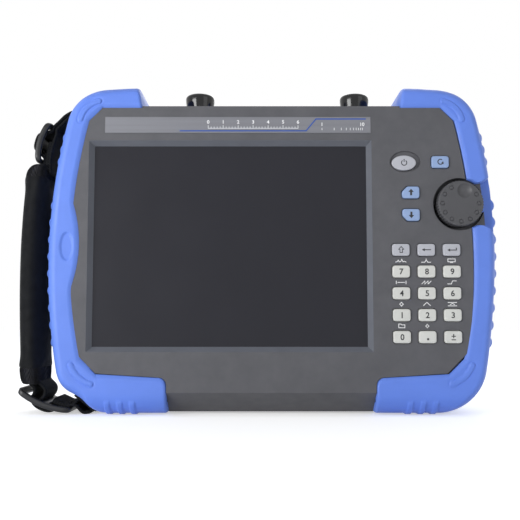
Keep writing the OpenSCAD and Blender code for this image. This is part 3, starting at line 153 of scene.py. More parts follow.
soft_box("key_box", (-0.8, -0.75, 0.08), (-0.05, 0.0, 0.05), 0.6, 13.0)
soft_box("fill_box", (1.1, -1.1, 0.45), (0.0, 0.0, 0.11), 0.9, 2.6)
soft_box("rim_box", (0.3, 1.3, 1.0), (0.0, 0.0, 0.11), 0.8, 5.0)

FLOOR_HALF, FLOOR_Z = 4.0, -0.0002
SQUARE = np.array([(-1, -1), (1, -1), (1, 1), (-1, 1)])
floor_mesh = bpy.data.meshes.new("floor")
floor_mesh.from_pydata([(x, y, FLOOR_Z) for x, y in FLOOR_HALF * SQUARE], [], [(0, 1, 2, 3)])
floor = placed("floor", floor_mesh)

# %% [markdown]
# Every finish on the object is built from the same three things that an eye notices: patches of
# slightly different colour, patches of different shine, and a fine relief. One helper makes such a
# finish, and the special ones, such as woven webbing, add their own relief to it. The paper floor
# also glows a little towards the camera, so that it is white away from the object's shadow.

# %% Finish helper
def linear(rgb):
    """The linear colour of a triple of 8-bit screen values."""
    c = np.array(rgb, float) / 255
    return np.where(c <= 0.04045, c / 12.92, ((c + 0.055) / 1.055) ** 2.4)


def finish(name, rgb, rough, metal=0.0, mottle=0.06, patch=45.0, vary=0.08, grain=900.0, relief=0.2,
           depth=0.05, coat=0.0, sheen=0.0, gloss=0.5, stretch=(1.0, 1.0, 1.0)):
    """A material with mottled colour, uneven shine and a fine relief of the given depth in mm."""
    made = bpy.data.materials.new(name)
    made.use_nodes = True
    tree = made.node_tree
    shader = tree.nodes["Principled BSDF"]
    shader.inputs["Metallic"].default_value = metal
    shader.inputs["Coat Weight"].default_value = coat
    shader.inputs["Sheen Weight"].default_value = sheen
    shader.inputs["Specular IOR Level"].default_value = gloss
    where = add(tree, "ShaderNodeTexCoord")
    scaled = add(tree, "ShaderNodeMapping", {"Scale": stretch})
    tree.links.new(where.outputs["Object"], scaled.inputs["Vector"])
    blotch = add(tree, "ShaderNodeTexNoise", {"Scale": patch, "Detail": 5.0, "Roughness": 0.6})
    tints = add(tree, "ShaderNodeValToRGB")
    base = linear(rgb)
    tints.color_ramp.elements[0].position = 0.3
    tints.color_ramp.elements[1].position = 0.7
    tints.color_ramp.elements[0].color = (*np.clip(base * (1 - mottle), 0, 1), 1.0)
    tints.color_ramp.elements[1].color = (*np.clip(base * (1 + mottle), 0, 1), 1.0)
    shine = add(tree, "ShaderNodeTexNoise", {"Scale": patch * 2.3, "Detail": 4.0})
    spread = add(tree, "ShaderNodeMapRange",
                 {"From Min": 0.3, "From Max": 0.7, "To Min": rough - vary, "To Max": rough + vary})
    pits = add(tree, "ShaderNodeTexNoise", {"Scale": grain, "Detail": 2.0})
    bump = add(tree, "ShaderNodeBump", {"Strength": relief, "Distance": depth * MM})
    for texture in (blotch, shine, pits):
        tree.links.new(scaled.outputs["Vector"], texture.inputs["Vector"])
    tree.links.new(blotch.outputs["Fac"], tints.inputs["Fac"])
    tree.links.new(tints.outputs["Color"], shader.inputs["Base Color"])
    tree.links.new(shine.outputs["Fac"], spread.inputs["Value"])
    tree.links.new(spread.outputs["Result"], shader.inputs["Roughness"])
    tree.links.new(pits.outputs["Fac"], bump.inputs["Height"])
    tree.links.new(bump.outputs["Normal"], shader.inputs["Normal"])
    made["relief"] = bump.name
    return made


paper = finish("white_paper", (244, 244, 244), 0.8, mottle=0.004, patch=3.0, relief=0.02)
lit = paper.node_tree.nodes["Principled BSDF"]
lit.inputs["Emission Color"].default_value = (0.5, 0.5, 0.5, 1.0)
paper.node_tree.links.new(in_view(paper.node_tree), lit.inputs["Emission Strength"])
floor.data.materials.append(paper)
print("floor finish", floor.data.materials[0].name)

# %% [markdown]
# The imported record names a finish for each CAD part. Moulded plastic gets a spark texture, which is
# what an eroded steel mould leaves; metals get streaks along the way they were brushed or turned;
# the boards get the slight waviness of solder mask.

# %% Finishes of the CAD parts
LOOKS = {
    "case_plastic": dict(rgb=(84, 84, 88), rough=0.58, mottle=0.09, patch=70.0, grain=1500.0,
                         relief=0.4, depth=0.09, gloss=0.35),
    "bumper_rubber": dict(rgb=(96, 130, 219), rough=0.5, mottle=0.035, grain=1100.0, relief=0.14, gloss=0.4),
    "seal_rubber": dict(rgb=(28, 28, 29), rough=0.75),
    "plate_foil": dict(rgb=(120, 121, 127), rough=0.45, metal=0.4, mottle=0.09, patch=60.0, grain=500.0,
                       relief=0.25, depth=0.03, stretch=(0.06, 1.0, 4.0)),
    "touch_glass": dict(rgb=(37, 37, 43), rough=0.34, mottle=0.04, patch=14.0, vary=0.05, grain=2500.0,
                        relief=0.05, depth=0.01, gloss=0.2),
    "display": dict(rgb=(34, 34, 36), rough=0.4),
    "mat_silicone": dict(rgb=(58, 58, 60), rough=0.7),
    "board": dict(rgb=(20, 84, 52), rough=0.36, mottle=0.22, patch=120.0, grain=300.0,
                  relief=0.3, depth=0.04),
    "screen_can": dict(rgb=(200, 200, 203), rough=0.34, metal=1.0, mottle=0.05, grain=400.0,
                       stretch=(0.2, 1.0, 3.0)),
    "jack_metal": dict(rgb=(214, 211, 203), rough=0.22, metal=1.0, mottle=0.04, grain=700.0,
                       stretch=(1.0, 1.0, 5.0)),
    "coax_metal": dict(rgb=(214, 184, 120), rough=0.26, metal=1.0, grain=600.0),
    "steel": dict(rgb=(190, 190, 194), rough=0.3, metal=1.0, grain=800.0),
    "dark_steel": dict(rgb=(52, 52, 55), rough=0.42, metal=0.9, mottle=0.1, grain=700.0),
    "battery_wrap": dict(rgb=(36, 38, 46), rough=0.35, mottle=0.1, patch=25.0, grain=90.0, depth=0.15),
    "black_plastic": dict(rgb=(27, 27, 28), rough=0.5, grain=1300.0, relief=0.25),
    "trim_plastic": dict(rgb=(68, 68, 70), rough=0.55, grain=1500.0, relief=0.35, depth=0.07),
}
FINISHES = {name: finish(name, **look) for name, look in LOOKS.items()}
for part in frame["record"]["subparts"]:
    if part["material_slot"] in FINISHES:
        shape = frame["nodes"][part["node"]].data
        shape.materials.clear()
        shape.materials.append(FINISHES[part["material_slot"]])
print("finishes", len(FINISHES))

# %% [markdown]
# New pieces are surfaces over a grid of two parameters. The helpers number the grid's quads, close
# its ends, turn the faces outwards, and hand the mesh to the body that it moves with.

# %% Mesh helpers
def quads(rows, cols, close_rows=False, close_cols=False):
    """The corners of a grid's quads, where a closed direction joins its last line to its first."""
    i = np.arange(rows if close_rows else rows - 1)[:, None]
    j = np.arange(cols if close_cols else cols - 1)[None, :]
    i2, j2 = (i + 1) % rows, (j + 1) % cols
    corners = np.broadcast_arrays(i * cols + j, i2 * cols + j, i2 * cols + j2, i * cols + j2)
    return np.stack(corners, -1).reshape(-1, 4)


def skin(grid, close_rows=False, close_cols=True, capped=True):
    """Points and outward faces of a grid; a capped one gets a flat face over its first and last row.

    It faces outwards where the sum of p0 . (p1 x p2) over its triangles, from its middle, is above zero.
    """
    rows, cols = grid.shape[:2]
    points = grid.reshape(-1, 3)
    faces = quads(rows, cols, close_rows, close_cols)
    p = (points - points.mean(0))[faces]
    volume = (p[:, 0] * np.cross(p[:, 1], p[:, 2])).sum() + (p[:, 0] * np.cross(p[:, 2], p[:, 3])).sum()
    turned = volume < 0
    made = (faces[:, ::-1] if turned else faces).tolist()
    if capped:
        first, last = np.arange(cols), (rows - 1) * cols + np.arange(cols)
        made.append((first[::-1] if turned else first).tolist())
        made.append((last if turned else last[::-1]).tolist())
    return points, made


def piece(name, parts, body, look, replaces=(), uv=None, sharp=40.0):
    """One object from a list of (points in mm, faces), riding on a body; edges over the angle stay sharp."""
    points = np.concatenate([p for p, _ in parts])
    starts = np.cumsum([0] + [len(p) for p, _ in parts])
    faces = [[c + int(s) for c in f] for (_, fs), s in zip(parts, starts) for f in fs]
    mesh = bpy.data.meshes.new(name)
    mesh.from_pydata(((points + MIDDLE) * MM).tolist(), [], faces)
    mesh.polygons.foreach_set("use_smooth", np.ones(len(faces), bool))
    mesh.set_sharp_from_angle(angle=math.radians(sharp))
    if uv is not None:
        corner_of = np.empty(len(mesh.loops), np.int32)
        mesh.loops.foreach_get("vertex_index", corner_of)
        mesh.uv_layers.new(name="weave").data.foreach_set("uv", uv[corner_of].astype(np.float32).ravel())
    mesh.materials.append(look)
    made = placed(name, mesh)
    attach(made, body)
    if replaces:
        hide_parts(*replaces)
    size = (points.max(0) - points.min(0)).round(1)
    print(name, len(points), "points", "size in mm", size.tolist())
    return made


print("faces of a 3 by 4 grid", len(quads(3, 4)), "and closed one way", len(quads(3, 4, close_cols=True)))

# %% Shaping helpers
def ease(x):
    """A smooth step: 0 below 0, 1 above 1, and 3x^2 - 2x^3 between them."""
    x = np.clip(x, 0, 1)
    return x * x * (3 - 2 * x)


def soft_max(a, b, width):
    """The larger of two fields, with their crease rounded: half of a + b + sqrt((a - b)^2 + width^2)."""
    return 0.5 * (a + b + np.sqrt((a - b) ** 2 + width ** 2))


def unit(v):
    """Vectors of length one: each is divided by its own length."""
    return v / np.maximum(np.linalg.norm(v, axis=-1, keepdims=True), 1e-9)


def walked(points):
    """The distance walked along a line of points, from 0 at the first one."""
    return np.concatenate([[0], np.cumsum(np.linalg.norm(np.diff(points, axis=0), axis=1))])


def quarter_round(d, r):
    """How far a round of radius r draws a shape in, d from its end: r - sqrt(r^2 - (r - d)^2)."""
    return r - np.sqrt(r ** 2 - np.clip(r - d, 0, r) ** 2)


print("a smooth step at its quarters", ease(np.array([0, 0.25, 0.5, 0.75, 1])))

# %% [markdown]
# ## Bumpers
# The blue ends are moulded in one piece of soft rubber and pulled over the case. Each is a shell
# with a lap over the front and the back. Its outline is a large barrel arc that runs into two
# corner arcs and two short arms; the lap's inner edge is matched to it piece by piece, so a line
# from one to the other crosses the lap. A bent box with modifiers would be quicker, but its lap would
# have the same width all round, and this one narrows beside the knob and on the arms.

# %% Outline of a bumper
BARREL_X, BARREL_Z, BARREL_R = -264.3, 99.7, 414.0
LAP, ROUND, DEEP = 16.5, 8.0, 18.0
TOP_R, TOP_Z = 28.0, 191.4
LOW_R, LOW_Z = 34.0, 34.8
TOP_A = math.asin((TOP_Z - BARREL_Z) / (BARREL_R - TOP_R))
LOW_A = math.asin((LOW_Z - BARREL_Z) / (BARREL_R - LOW_R))
TOP_X = BARREL_X + (BARREL_R - TOP_R) * math.cos(TOP_A)
LOW_X = BARREL_X + (BARREL_R - LOW_R) * math.cos(LOW_A)
ARM_LOW_X, ARM_TOP_X, ARM_LEAN = 68.5, 86.0, 3.0
ARM_LOW_Z, ARM_RISE, ARM_TOP_Z, SHOULDER_X = 24.7, 2.7, 204.2, 93.0
LOW_LEAN, LEAN_TOP, LEAN_LOW = 2.6, 80.0, 30.0
LEFT_LEAN, LEFT_TOP, LEFT_FROM, LEFT_FADE = 1.6, 112.0, 85.0, 20.0
LOW_BEVEL, TOP_BEVEL, ARM_CORNER = 24.5, 17.5, 5.0
CREST, CREST_FROM, CREST_LONG = 1.5, 124.0, 34.0
KNOB_X, KNOB_Z, WELL_R = 124.8, 139.2, 17.5
BULGE_X, BULGE_Z, BULGE_R = 126.9, 112.8, 87.0
FLARE = {-1: (0.7, 0.0), 0: (0.0, 0.0), 1: (2.4, 0.9)}
FLARE_LOW, FLARE_TALL, FLARE_FROM, FLARE_LONG = 50.0, 120.0, 98.0, 26.0
HOLLOW, HOLLOW_AT, HOLLOW_WIDE = 4.8, math.radians(-55), 12.0


def arc(x, z, r, a0, a1, n):
    """n points on a circle about (x, z), from angle a0 to a1: x + r cos a, z + r sin a."""
    a = np.linspace(a0, a1, n, endpoint=False)
    return np.stack([x + r * np.cos(a), z + r * np.sin(a)], -1)


def line(p, q, n):
    """n points on the straight line from p towards q."""
    t = np.linspace(0, 1, n, endpoint=False)[:, None]
    return np.array(p) * (1 - t) + np.array(q) * t


def inner_side(z):
    """x of the lap's inner edge at height z: the barrel circle, smaller by the lap, leaning in low down."""
    lean = LOW_LEAN * np.clip((LEAN_TOP - z) / (LEAN_TOP - LEAN_LOW), 0, 1)
    return BARREL_X + np.sqrt((BARREL_R - LAP) ** 2 - (z - BARREL_Z) ** 2) - lean


def flared(edge):
    """The share of the flare at points of an edge: it grows with the height, on the corner and the flank."""
    return ease((edge[:, 1] - FLARE_LOW) / FLARE_TALL) * ease((edge[:, 0] - FLARE_FROM) / FLARE_LONG)


print("barrel angles in degrees", np.degrees([LOW_A, TOP_A]).round(1))

# %% Edges of a bumper
def outline(side):
    """Outer and inner edge of the right half, as matched points from the lower arm to the upper one.

    On the left front the inner edge follows the thumb bulge, and on the right front it runs round the
    knob's well. The front flares a little towards the top, and the upper arms rise towards their ends. The
    left lower corner is hollowed for the strap by HOLLOW exp(-(s / HOLLOW_WIDE)^2), where s is the way
    along the corner. With side 0 it is the plain edge of the back.
    """
    counts = (84, 64, 330, 64, 44)
    low_bottom, top_top = LOW_Z - LOW_R, TOP_Z + TOP_R
    outer = np.concatenate([
        line((ARM_LOW_X, low_bottom), (LOW_X, low_bottom), counts[0]),
        arc(LOW_X, LOW_Z, LOW_R, -math.pi / 2, LOW_A, counts[1]),
        arc(BARREL_X, BARREL_Z, BARREL_R, LOW_A, TOP_A, counts[2]),
        arc(TOP_X, TOP_Z, TOP_R, TOP_A, math.pi / 2, counts[3]),
        line((TOP_X, top_top), (ARM_TOP_X + ARM_LEAN, top_top), counts[4]),
        [(ARM_TOP_X + ARM_LEAN, top_top)]])
    flare = FLARE[side][0] * flared(outer)
    if side < 0:
        ray = outer - [LOW_X, LOW_Z]
        along = LOW_R * (np.arctan2(ray[:, 1], ray[:, 0]) - HOLLOW_AT)
        hollow = HOLLOW * np.exp(-(along / HOLLOW_WIDE) ** 2) * (outer[:, 1] < LOW_Z)
        outer = outer - unit(ray) * hollow[:, None]
    outer[:, 0] += flare
    outer[:, 1] += CREST * ease((CREST_FROM - outer[:, 0]) / CREST_LONG) * (outer[:, 1] > BARREL_Z)
    down = LOW_X - LOW_Z + LOW_R * math.sqrt(2) - LOW_BEVEL * math.sqrt(2)
    bend = ARM_LOW_Z + ARM_RISE
    up = TOP_X + TOP_Z + TOP_R * math.sqrt(2) - TOP_BEVEL * math.sqrt(2)
    heights = np.linspace(ARM_LOW_Z, ARM_TOP_Z, 4000)
    z0 = heights[np.argmin(np.abs(inner_side(heights) - heights - down))]
    z1 = heights[np.argmin(np.abs(inner_side(heights) + heights - up))]
    climb = np.linspace(z0, z1, counts[2], endpoint=False)
    inner = np.concatenate([
        line((ARM_LOW_X, ARM_LOW_Z), (down + bend, bend), counts[0]),
        line((down + bend, bend), (inner_side(z0), z0), counts[1]),
        np.stack([inner_side(climb), climb], -1),
        line((inner_side(z1), z1), (up - ARM_TOP_Z, ARM_TOP_Z), counts[3]),
        line((up - ARM_TOP_Z, ARM_TOP_Z), (ARM_TOP_X, ARM_TOP_Z), counts[4]),
        [(ARM_TOP_X, ARM_TOP_Z)]])
    inner[:, 0] += FLARE[side][1] * flared(inner)
    dz = inner[:, 1] - (BULGE_Z if side < 0 else KNOB_Z)
    if side < 0:
        below = ease((LEFT_TOP - inner[:, 1]) / LEFT_FADE)
        inner[:, 0] -= LEFT_LEAN * below * ease((inner[:, 0] - LEFT_FROM) / LEFT_FADE)
        bulge = BULGE_X + BULGE_R - np.sqrt(np.clip(BULGE_R ** 2 - dz ** 2, 0, None))
        inner[:, 0] = -soft_max(-inner[:, 0], -bulge, 1.5)
    elif side > 0:
        well = KNOB_X + np.sqrt(np.clip(WELL_R ** 2 - dz ** 2, 0, None))
        inner[:, 0] = np.where(np.abs(dz) < WELL_R, np.maximum(inner[:, 0], well), inner[:, 0])
    inner[:, 1] -= quarter_round(inner[:, 0] - ARM_LOW_X, ARM_CORNER) * (inner[:, 1] < 30)
    return outer, inner


outer, inner = outline(1)
widths = np.linalg.norm(outer - inner, axis=1)
print("outline points", len(outer), "lap widths", widths.min().round(1), "to", widths.max().round(1))

# %% [markdown]
# Across the shell the profile is a closed loop: a bevel at the lap's inner edge, the flat of the
# lap, a round outer edge, the side, and the same again on the back, then home inside the case. The
# lower front edge is cut away in a long curve so that the instrument can be tipped up by the hand.

# %% Shell of a bumper
LAP_FRONT, UNDER_DEEP, UNDER_HIGH, NOTCH_DEEP = -39.2, 16.0, 15.0, 11.2
BEVEL_WIDE, BEVEL_FALL, END_R, RUBBER = 3.2, 1.7, 2.0, 6.3
NOTCH_LOW, NOTCH_TOP = (125.7, -0.058, 138.5), (152.9, 0.057, 136.5)


def under_cut(z):
    """y of the rounded lower front edge, a quarter ellipse: UNDER_DEEP (1 - sqrt(1 - q^2)) at a share q."""
    q = np.clip((LOW_Z - LOW_R + UNDER_HIGH - z) / UNDER_HIGH, 0, 1)
    return LAP_FRONT + UNDER_DEEP * (1 - np.sqrt(1 - q ** 2))


def notch(x, z):
    """How far a point is inside the thumb notch beside the knob, from 0 to 1, between two bowed ends.

    An end has a height, a bow and a middle: it lies at height + bow (x - middle)^2.
    """
    low, top = (at + bow * np.clip(x - mid, -8, None) ** 2 for at, bow, mid in (NOTCH_LOW, NOTCH_TOP))
    return ease((z - low) / 1.3 + 0.5) * ease((top - z) / 1.3 + 0.5)


def lap_steps(wide):
    """Distances in from the outer edge, row by row: over the bevel, the flat and the round edge."""
    bevel = np.minimum(BEVEL_WIDE, 0.25 * wide)
    edge = np.minimum(ROUND, 0.5 * wide)
    over = wide - bevel * np.linspace(0, 1, 5)[:, None]
    flat = np.linspace(0, 1, 18)[1:, None]
    turn = np.linspace(0, math.pi / 2, 11)[1:, None]
    return np.concatenate([over, (wide - bevel) * (1 - flat) + edge * flat, edge * (1 - np.sin(turn))])


def lap(outer, inner):
    """Rows of a lap from its inner to its outer edge: x and z, the way behind its flat, the ends' draw.

    The outer edge is a quarter ellipse: at distance t from it the lap lies DEEP (1 - sqrt(1 - u^2)) behind
    its flat, where u is (ROUND - t) / ROUND. A bevel falls at the inner edge, and the arms' ends are
    drawn in by a small radius. The last value picks the row under which the shell is hollow.
    """
    wide = np.linalg.norm(outer - inner, axis=1)
    away = (outer - inner) / wide[:, None]
    walk = walked(outer)
    end = quarter_round(np.minimum(walk, walk[-1] - walk), END_R)
    t = lap_steps(wide)
    rise = DEEP * (1 - np.sqrt(1 - (np.clip(ROUND - t, 0, ROUND) / ROUND) ** 2))
    slope = BEVEL_FALL * np.clip((t - wide) / BEVEL_WIDE + 1, 0, 1) ** 1.3
    solid = (outer[:, 0] < SHOULDER_X) & (outer[:, 1] > BARREL_Z)
    inside = np.where(solid, 0, np.argmin(np.abs(t - np.minimum(RUBBER, 0.6 * wide)), axis=0))[None]
    place = outer - away * (end + t * (wide - end) / wide)[..., None]
    return place, rise + slope, end, inside


print("rows of a lap", len(lap_steps(widths)), "thumb notch from", NOTCH_LOW[0], "to", NOTCH_TOP[0])

# %% Front, flank and back joined
def shell(side):
    """The shell's grid: rows run round the profile and columns along the outline, before its ribs.

    Inside, the shell is hollow for the case, but an upper arm is solid where it reaches past the shoulder.
    """
    place, fall, end, inside = lap(*outline(side))
    behind, fall_behind, _, inside_back = lap(*outline(0))
    front = soft_max(LAP_FRONT + fall, under_cut(place[..., 1]), 0.6) + end
    back = -(LAP_FRONT + fall_behind) - end
    if side > 0:
        front = soft_max(front, LAP_FRONT + NOTCH_DEEP * notch(place[..., 0], place[..., 1]), 0.4)
    down = np.linspace(0, 1, 32)[1:-1, None]
    flank = front[-1] * (1 - down) + back[-1] * down
    past, over = (0.62, 0.2) if side < 0 else (0.1, 0.85)
    flank_xz = place[-1] + (behind[-1] - place[-1]) * ease((down - past) / over)[..., None]
    deep_y = [np.take_along_axis(back, inside_back, 0) - 3, np.take_along_axis(front, inside, 0) + 3]
    deep = [np.take_along_axis(behind, inside_back[..., None], 0),
            np.take_along_axis(place, inside[..., None], 0)]
    y = np.concatenate([front, flank, back[::-1], back[:1] - 2.2, *deep_y, front[:1] + 2.2])
    xz = np.concatenate([place, flank_xz, behind[::-1], behind[:1], *deep, place[:1]])
    flanks = np.zeros(len(y), bool)
    flanks[len(fall) - 4:len(fall) + len(down) + 4] = True
    laps = np.arange(len(y)) < len(fall)
    return np.stack([xz[..., 0], y, xz[..., 1]], -1), flanks[:, None], laps[:, None]


grid, flanks, laps = shell(1)
print("shell grid", grid.shape, "depth", grid[..., 1].min().round(2), grid[..., 1].max().round(2))

# %% [markdown]
# The mould also gives the rubber its relief: ribs on the flanks for the grip, ribs under the arms
# to stand on, a raised bar on each corner, a thumb dimple on the left, and there the two slots that
# the strap comes out of. All of them are moves along the surface's normal. Separate bars could be
# joined on instead, but a moulded rib grows out of its ground without a seam, and a move does too.

# %% Relief of a bumper
def normals(grid):
    """Unit normals of a grid that is closed along its rows: the cross product of its two differences."""
    du = np.roll(grid, -1, 0) - np.roll(grid, 1, 0)
    dv = np.gradient(grid, axis=1)
    return unit(np.cross(du, dv))


def bar(x, z, cx, cz, r, a0, a1):
    """Distance of points from an arc about (cx, cz), between two angles in degrees."""
    a = np.clip(np.arctan2(z - cz, x - cx), math.radians(a0), math.radians(a1))
    return np.hypot(x - cx - r * np.cos(a), z - cz - r * np.sin(a))


RIB_R, RIB_SUNK, RIB_HALF, RIB_PITCH, HIGH_RIB, HIGH_PITCH = 5.0, {-1: 3.4, 1: 2.8}, 24.0, 11.6, 71.0, 8.3
RIB_Z = [BARREL_Z + HIGH_RIB + HIGH_PITCH * k for k in range(3)]
RIB_Z += [BARREL_Z + RIB_PITCH * (k + 0.5) for k in range(-5, 4)]
FOOT_HIGH, FOOT_HALF, FOOT_TOP, FOOT_BACK, FOOT_PITCH = 0.8, 2.0, 10.5, 27.0, 8.2
FOOT_X = [99 + FOOT_PITCH * k for k in (-1, 0, 1)]
BAR_HIGH, BAR_WIDE, CREASE_DEEP, CREASE_AT = 0.7, 2.0, 0.25, 2.2
CORNER_BARS = [(111.7, 192.9, 16, 12, 78), (112.0, 40.2, 20, -74, -20)]
DIMPLE_X, DIMPLE_Z, DIMPLE_WIDE, DIMPLE_TALL, DIMPLE_DEEP = 135.1, 111.1, 4.1, 9.2, 0.9
STRAP_Y, SLOT_HALF_WIDE, SLOT_HALF_LONG = -8.0, 3.6, 16.4
SLOTS = [(TOP_X, TOP_Z, 30.0, 5.0), (LOW_X, LOW_Z, -52.0, 2.0)]


def relief(side, grid, flanks, laps):
    """Height of the moulded relief over a shell, in mm.

    A flank rib is a round bar that is sunk into the rubber: sqrt(RIB_R^2 - d^2) less what is sunk, at a
    distance d from its middle. Foot ribs and corner bars have smooth steps for sides, and a corner bar
    has a fine crease round it.
    """
    x, y, z = grid[..., 0], grid[..., 1], grid[..., 2]
    past = np.clip(np.abs(y) - RIB_HALF, 0, None)
    near = np.min([np.abs(z - r) for r in RIB_Z], axis=0)
    ribs = np.sqrt(np.clip(RIB_R ** 2 - near ** 2 - past ** 2, 0, None))
    h = flanks * np.clip(ribs - RIB_SUNK[side], 0, None)
    foot = np.min([np.abs(x - f) for f in FOOT_X], axis=0)
    under = ease((FOOT_TOP - z) / 2) * ease((FOOT_BACK - y) / 1.5)
    h += (flanks | laps) * FOOT_HIGH * ease((FOOT_HALF - foot) / 0.6) * under
    off = np.min([bar(x, z, *place) for place in CORNER_BARS], axis=0)
    crease = CREASE_DEEP * np.exp(-((off - CREASE_AT) / 0.5) ** 2)
    h += laps * (BAR_HIGH * ease((BAR_WIDE - off) / 0.8) - crease)
    if side < 0:
        oval = np.hypot((x - DIMPLE_X) / DIMPLE_WIDE, (z - DIMPLE_Z) / DIMPLE_TALL)
        h -= laps * DIMPLE_DEEP * ease((1.08 - oval) / 0.18)
        for cx, cz, a, sunk in SLOTS:
            a = math.radians(a)
            beside = np.abs((z - cz) * math.cos(a) - (x - cx) * math.sin(a))
            ahead = (x - cx) * math.cos(a) + (z - cz) * math.sin(a) > 0
            across = ease((SLOT_HALF_WIDE - beside) / 0.8 + 0.5)
            mouth = across * ease((SLOT_HALF_LONG - np.abs(y - STRAP_Y)) / 1.6 + 0.5)
            h -= flanks * ahead * sunk * mouth
    return h


print("flank ribs", len(RIB_Z), "foot ribs", len(FOOT_X))

# %% Two bumpers
for side, name in ((-1, "left"), (1, "right")):
    grid, flanks, laps = shell(side)
    n = normals(grid)
    widest = np.unravel_index(np.argmax(grid[..., 0]), grid.shape[:2])
    n *= np.sign(n[widest][0])
    grid = grid + n * relief(side, grid, flanks, laps)[..., None]
    grid[..., 0] *= side
    piece(f"{name}_rubber_bumper", [skin(grid.transpose(1, 0, 2))], "chassis", FINISHES["bumper_rubber"],
          [f"{name}_bumper"], sharp=55.0)

# %% [markdown]
# ## Keys
# A key is a satin plastic cap with a slightly crowned top and a rounded rim, and a lip behind the
# face that keeps it in its hole. Its outline is a polygon with rounded corners, or an ellipse for
# the power key; rings from its middle outwards and then down its side make the cap. A box with a
# Bevel modifier would do for the plain keys only, and the rings serve every outline.

# %% Outlines of the keys
def full_turn(n):
    """n angles, evenly spaced round a full turn."""
    return np.linspace(0, 2 * math.pi, n, endpoint=False)


def rounded(corners, radii, n=96):
    """n points, evenly spaced, on a polygon whose corners are rounded.

    A round of radius r starts r tan(turn / 2) before its corner, where turn is the change of direction.
    It is the curve (1 - t)^2 a + 2 t (1 - t) corner + t^2 b between its two ends a and b.
    """
    corners = np.array(corners, float)
    before, after = (unit(np.roll(corners, way, 0) - corners) for way in (1, -1))
    half = np.arccos(np.clip((before * after).sum(1), -1, 1)) / 2
    reach = np.array(radii) / np.tan(half)
    t = np.linspace(0, 1, 9)[None, :, None]
    a, b = ((corners + way * reach[:, None])[:, None] for way in (before, after))
    path = ((1 - t) ** 2 * a + 2 * t * (1 - t) * corners[:, None] + t ** 2 * b).reshape(-1, 2)
    closed = np.concatenate([path, path[:1]])
    walk = walked(closed)
    at = np.linspace(0, walk[-1], n, endpoint=False)
    return np.stack([np.interp(at, walk, closed[:, k]) for k in (0, 1)], -1)


def key_outline(kind):
    """Outline of a key about its middle, 0.5 mm clear of its hole; the arrow keys have one corner cut off."""
    w, h, cut = 5.75, 4.0, 3.4
    if kind == "oval":
        a = full_turn(96)
        return np.stack([8.0 * np.cos(a), 5.0 * np.sin(a)], -1)
    if kind == "plain":
        return rounded(SQUARE * [w, h], [2] * 4)
    cut_up = rounded([(-w, -h), (w, -h), (w, h), (cut - w, h), (-w, h - cut)], [2, 2, 2, 1.5, 1.5])
    return cut_up if kind == "up" else cut_up * [1, -1]


print("points of an outline", {kind: len(key_outline(kind)) for kind in ("plain", "oval", "up", "down")})

# %% Key caps
KEY_TOP, CROWN, RIM, LIP_FRONT, LIP_BACK = -39.8, 0.25, 0.7, -33.9, -32.7


def at_depths(loops, depths, axis=0):
    """A grid of loops of x and z, where each loop lies at its own depth y."""
    made = [np.stack([p[:, 0], np.full(len(p), y), p[:, 1]], -1) for p, y in zip(loops, depths)]
    return np.stack(made, axis)


def key_cap(kind):
    """Rings of a cap: out as a crown of depth CROWN f^2, round the rim, down the side, over the lip."""
    edge = key_outline(kind)
    inset, lip = 1 - RIM / np.abs(edge).max(0), 1 + 1 / np.abs(edge).max(0)
    f = np.array([0.06, 0.3, 0.55, 0.8, 1.0])
    turn = np.linspace(0, math.pi / 2, 7)[1:]
    scale = [inset * k for k in f] + [inset + (1 - inset) * math.sin(a) for a in turn]
    scale += [np.ones(2), lip, lip]
    depth = [KEY_TOP + CROWN * k ** 2 for k in f] + [KEY_TOP + CROWN + RIM * (1 - math.cos(a)) for a in turn]
    depth += [LIP_FRONT, LIP_FRONT, LIP_BACK]
    return at_depths([edge * s for s in scale], depth)


PAD_X, PAD_Z, PITCH_X, PITCH_Z = 102.1, 51.5, 16.7, 14.3
KEY_ROWS = [("0", "point", "sign"), ("1", "2", "3"), ("4", "5", "6"), ("7", "8", "9"),
            ("shift", "back", "enter")]
KEYS = {name: (PAD_X + PITCH_X * (col - 1), PAD_Z + PITCH_Z * row, "plain")
        for row, names in enumerate(KEY_ROWS) for col, name in enumerate(names)}
KEYS |= {"power": (88.2, 166.7, "oval"), "preset": (112.3, 167.3, "plain"),
         "up": (92.5, 146.9, "up"), "down": (92.5, 131.9, "down")}
KEY_COLOURS = {"white_key": (205, 205, 200), "grey_key": (176, 177, 184), "blue_key": (140, 162, 200)}
FINISHES |= {name: finish(name, rgb, 0.5, mottle=0.03, grain=1500.0, relief=0.15, gloss=0.35)
             for name, rgb in KEY_COLOURS.items()}
key_slot = {p["node"]: p["material_slot"] for p in frame["record"]["subparts"]}
for name, (x, z, kind) in KEYS.items():
    node = "key_" + name
    slot = key_slot[node]
    piece(f"cap_of_{node}", [skin(key_cap(kind) + [x, 0, z])], node, FINISHES[slot], [node])

# %% [markdown]
# ## Printing
# Digits and symbols are printed on the keys in dark ink, which moves with the key, and white
# pictures on the case above them say what a key does with the shift key. A printed line is a very
# thin box swept along a path, and a digit is a text outline turned into a mesh. A picture on the
# surface could show the same, but it would blur when seen from close by.

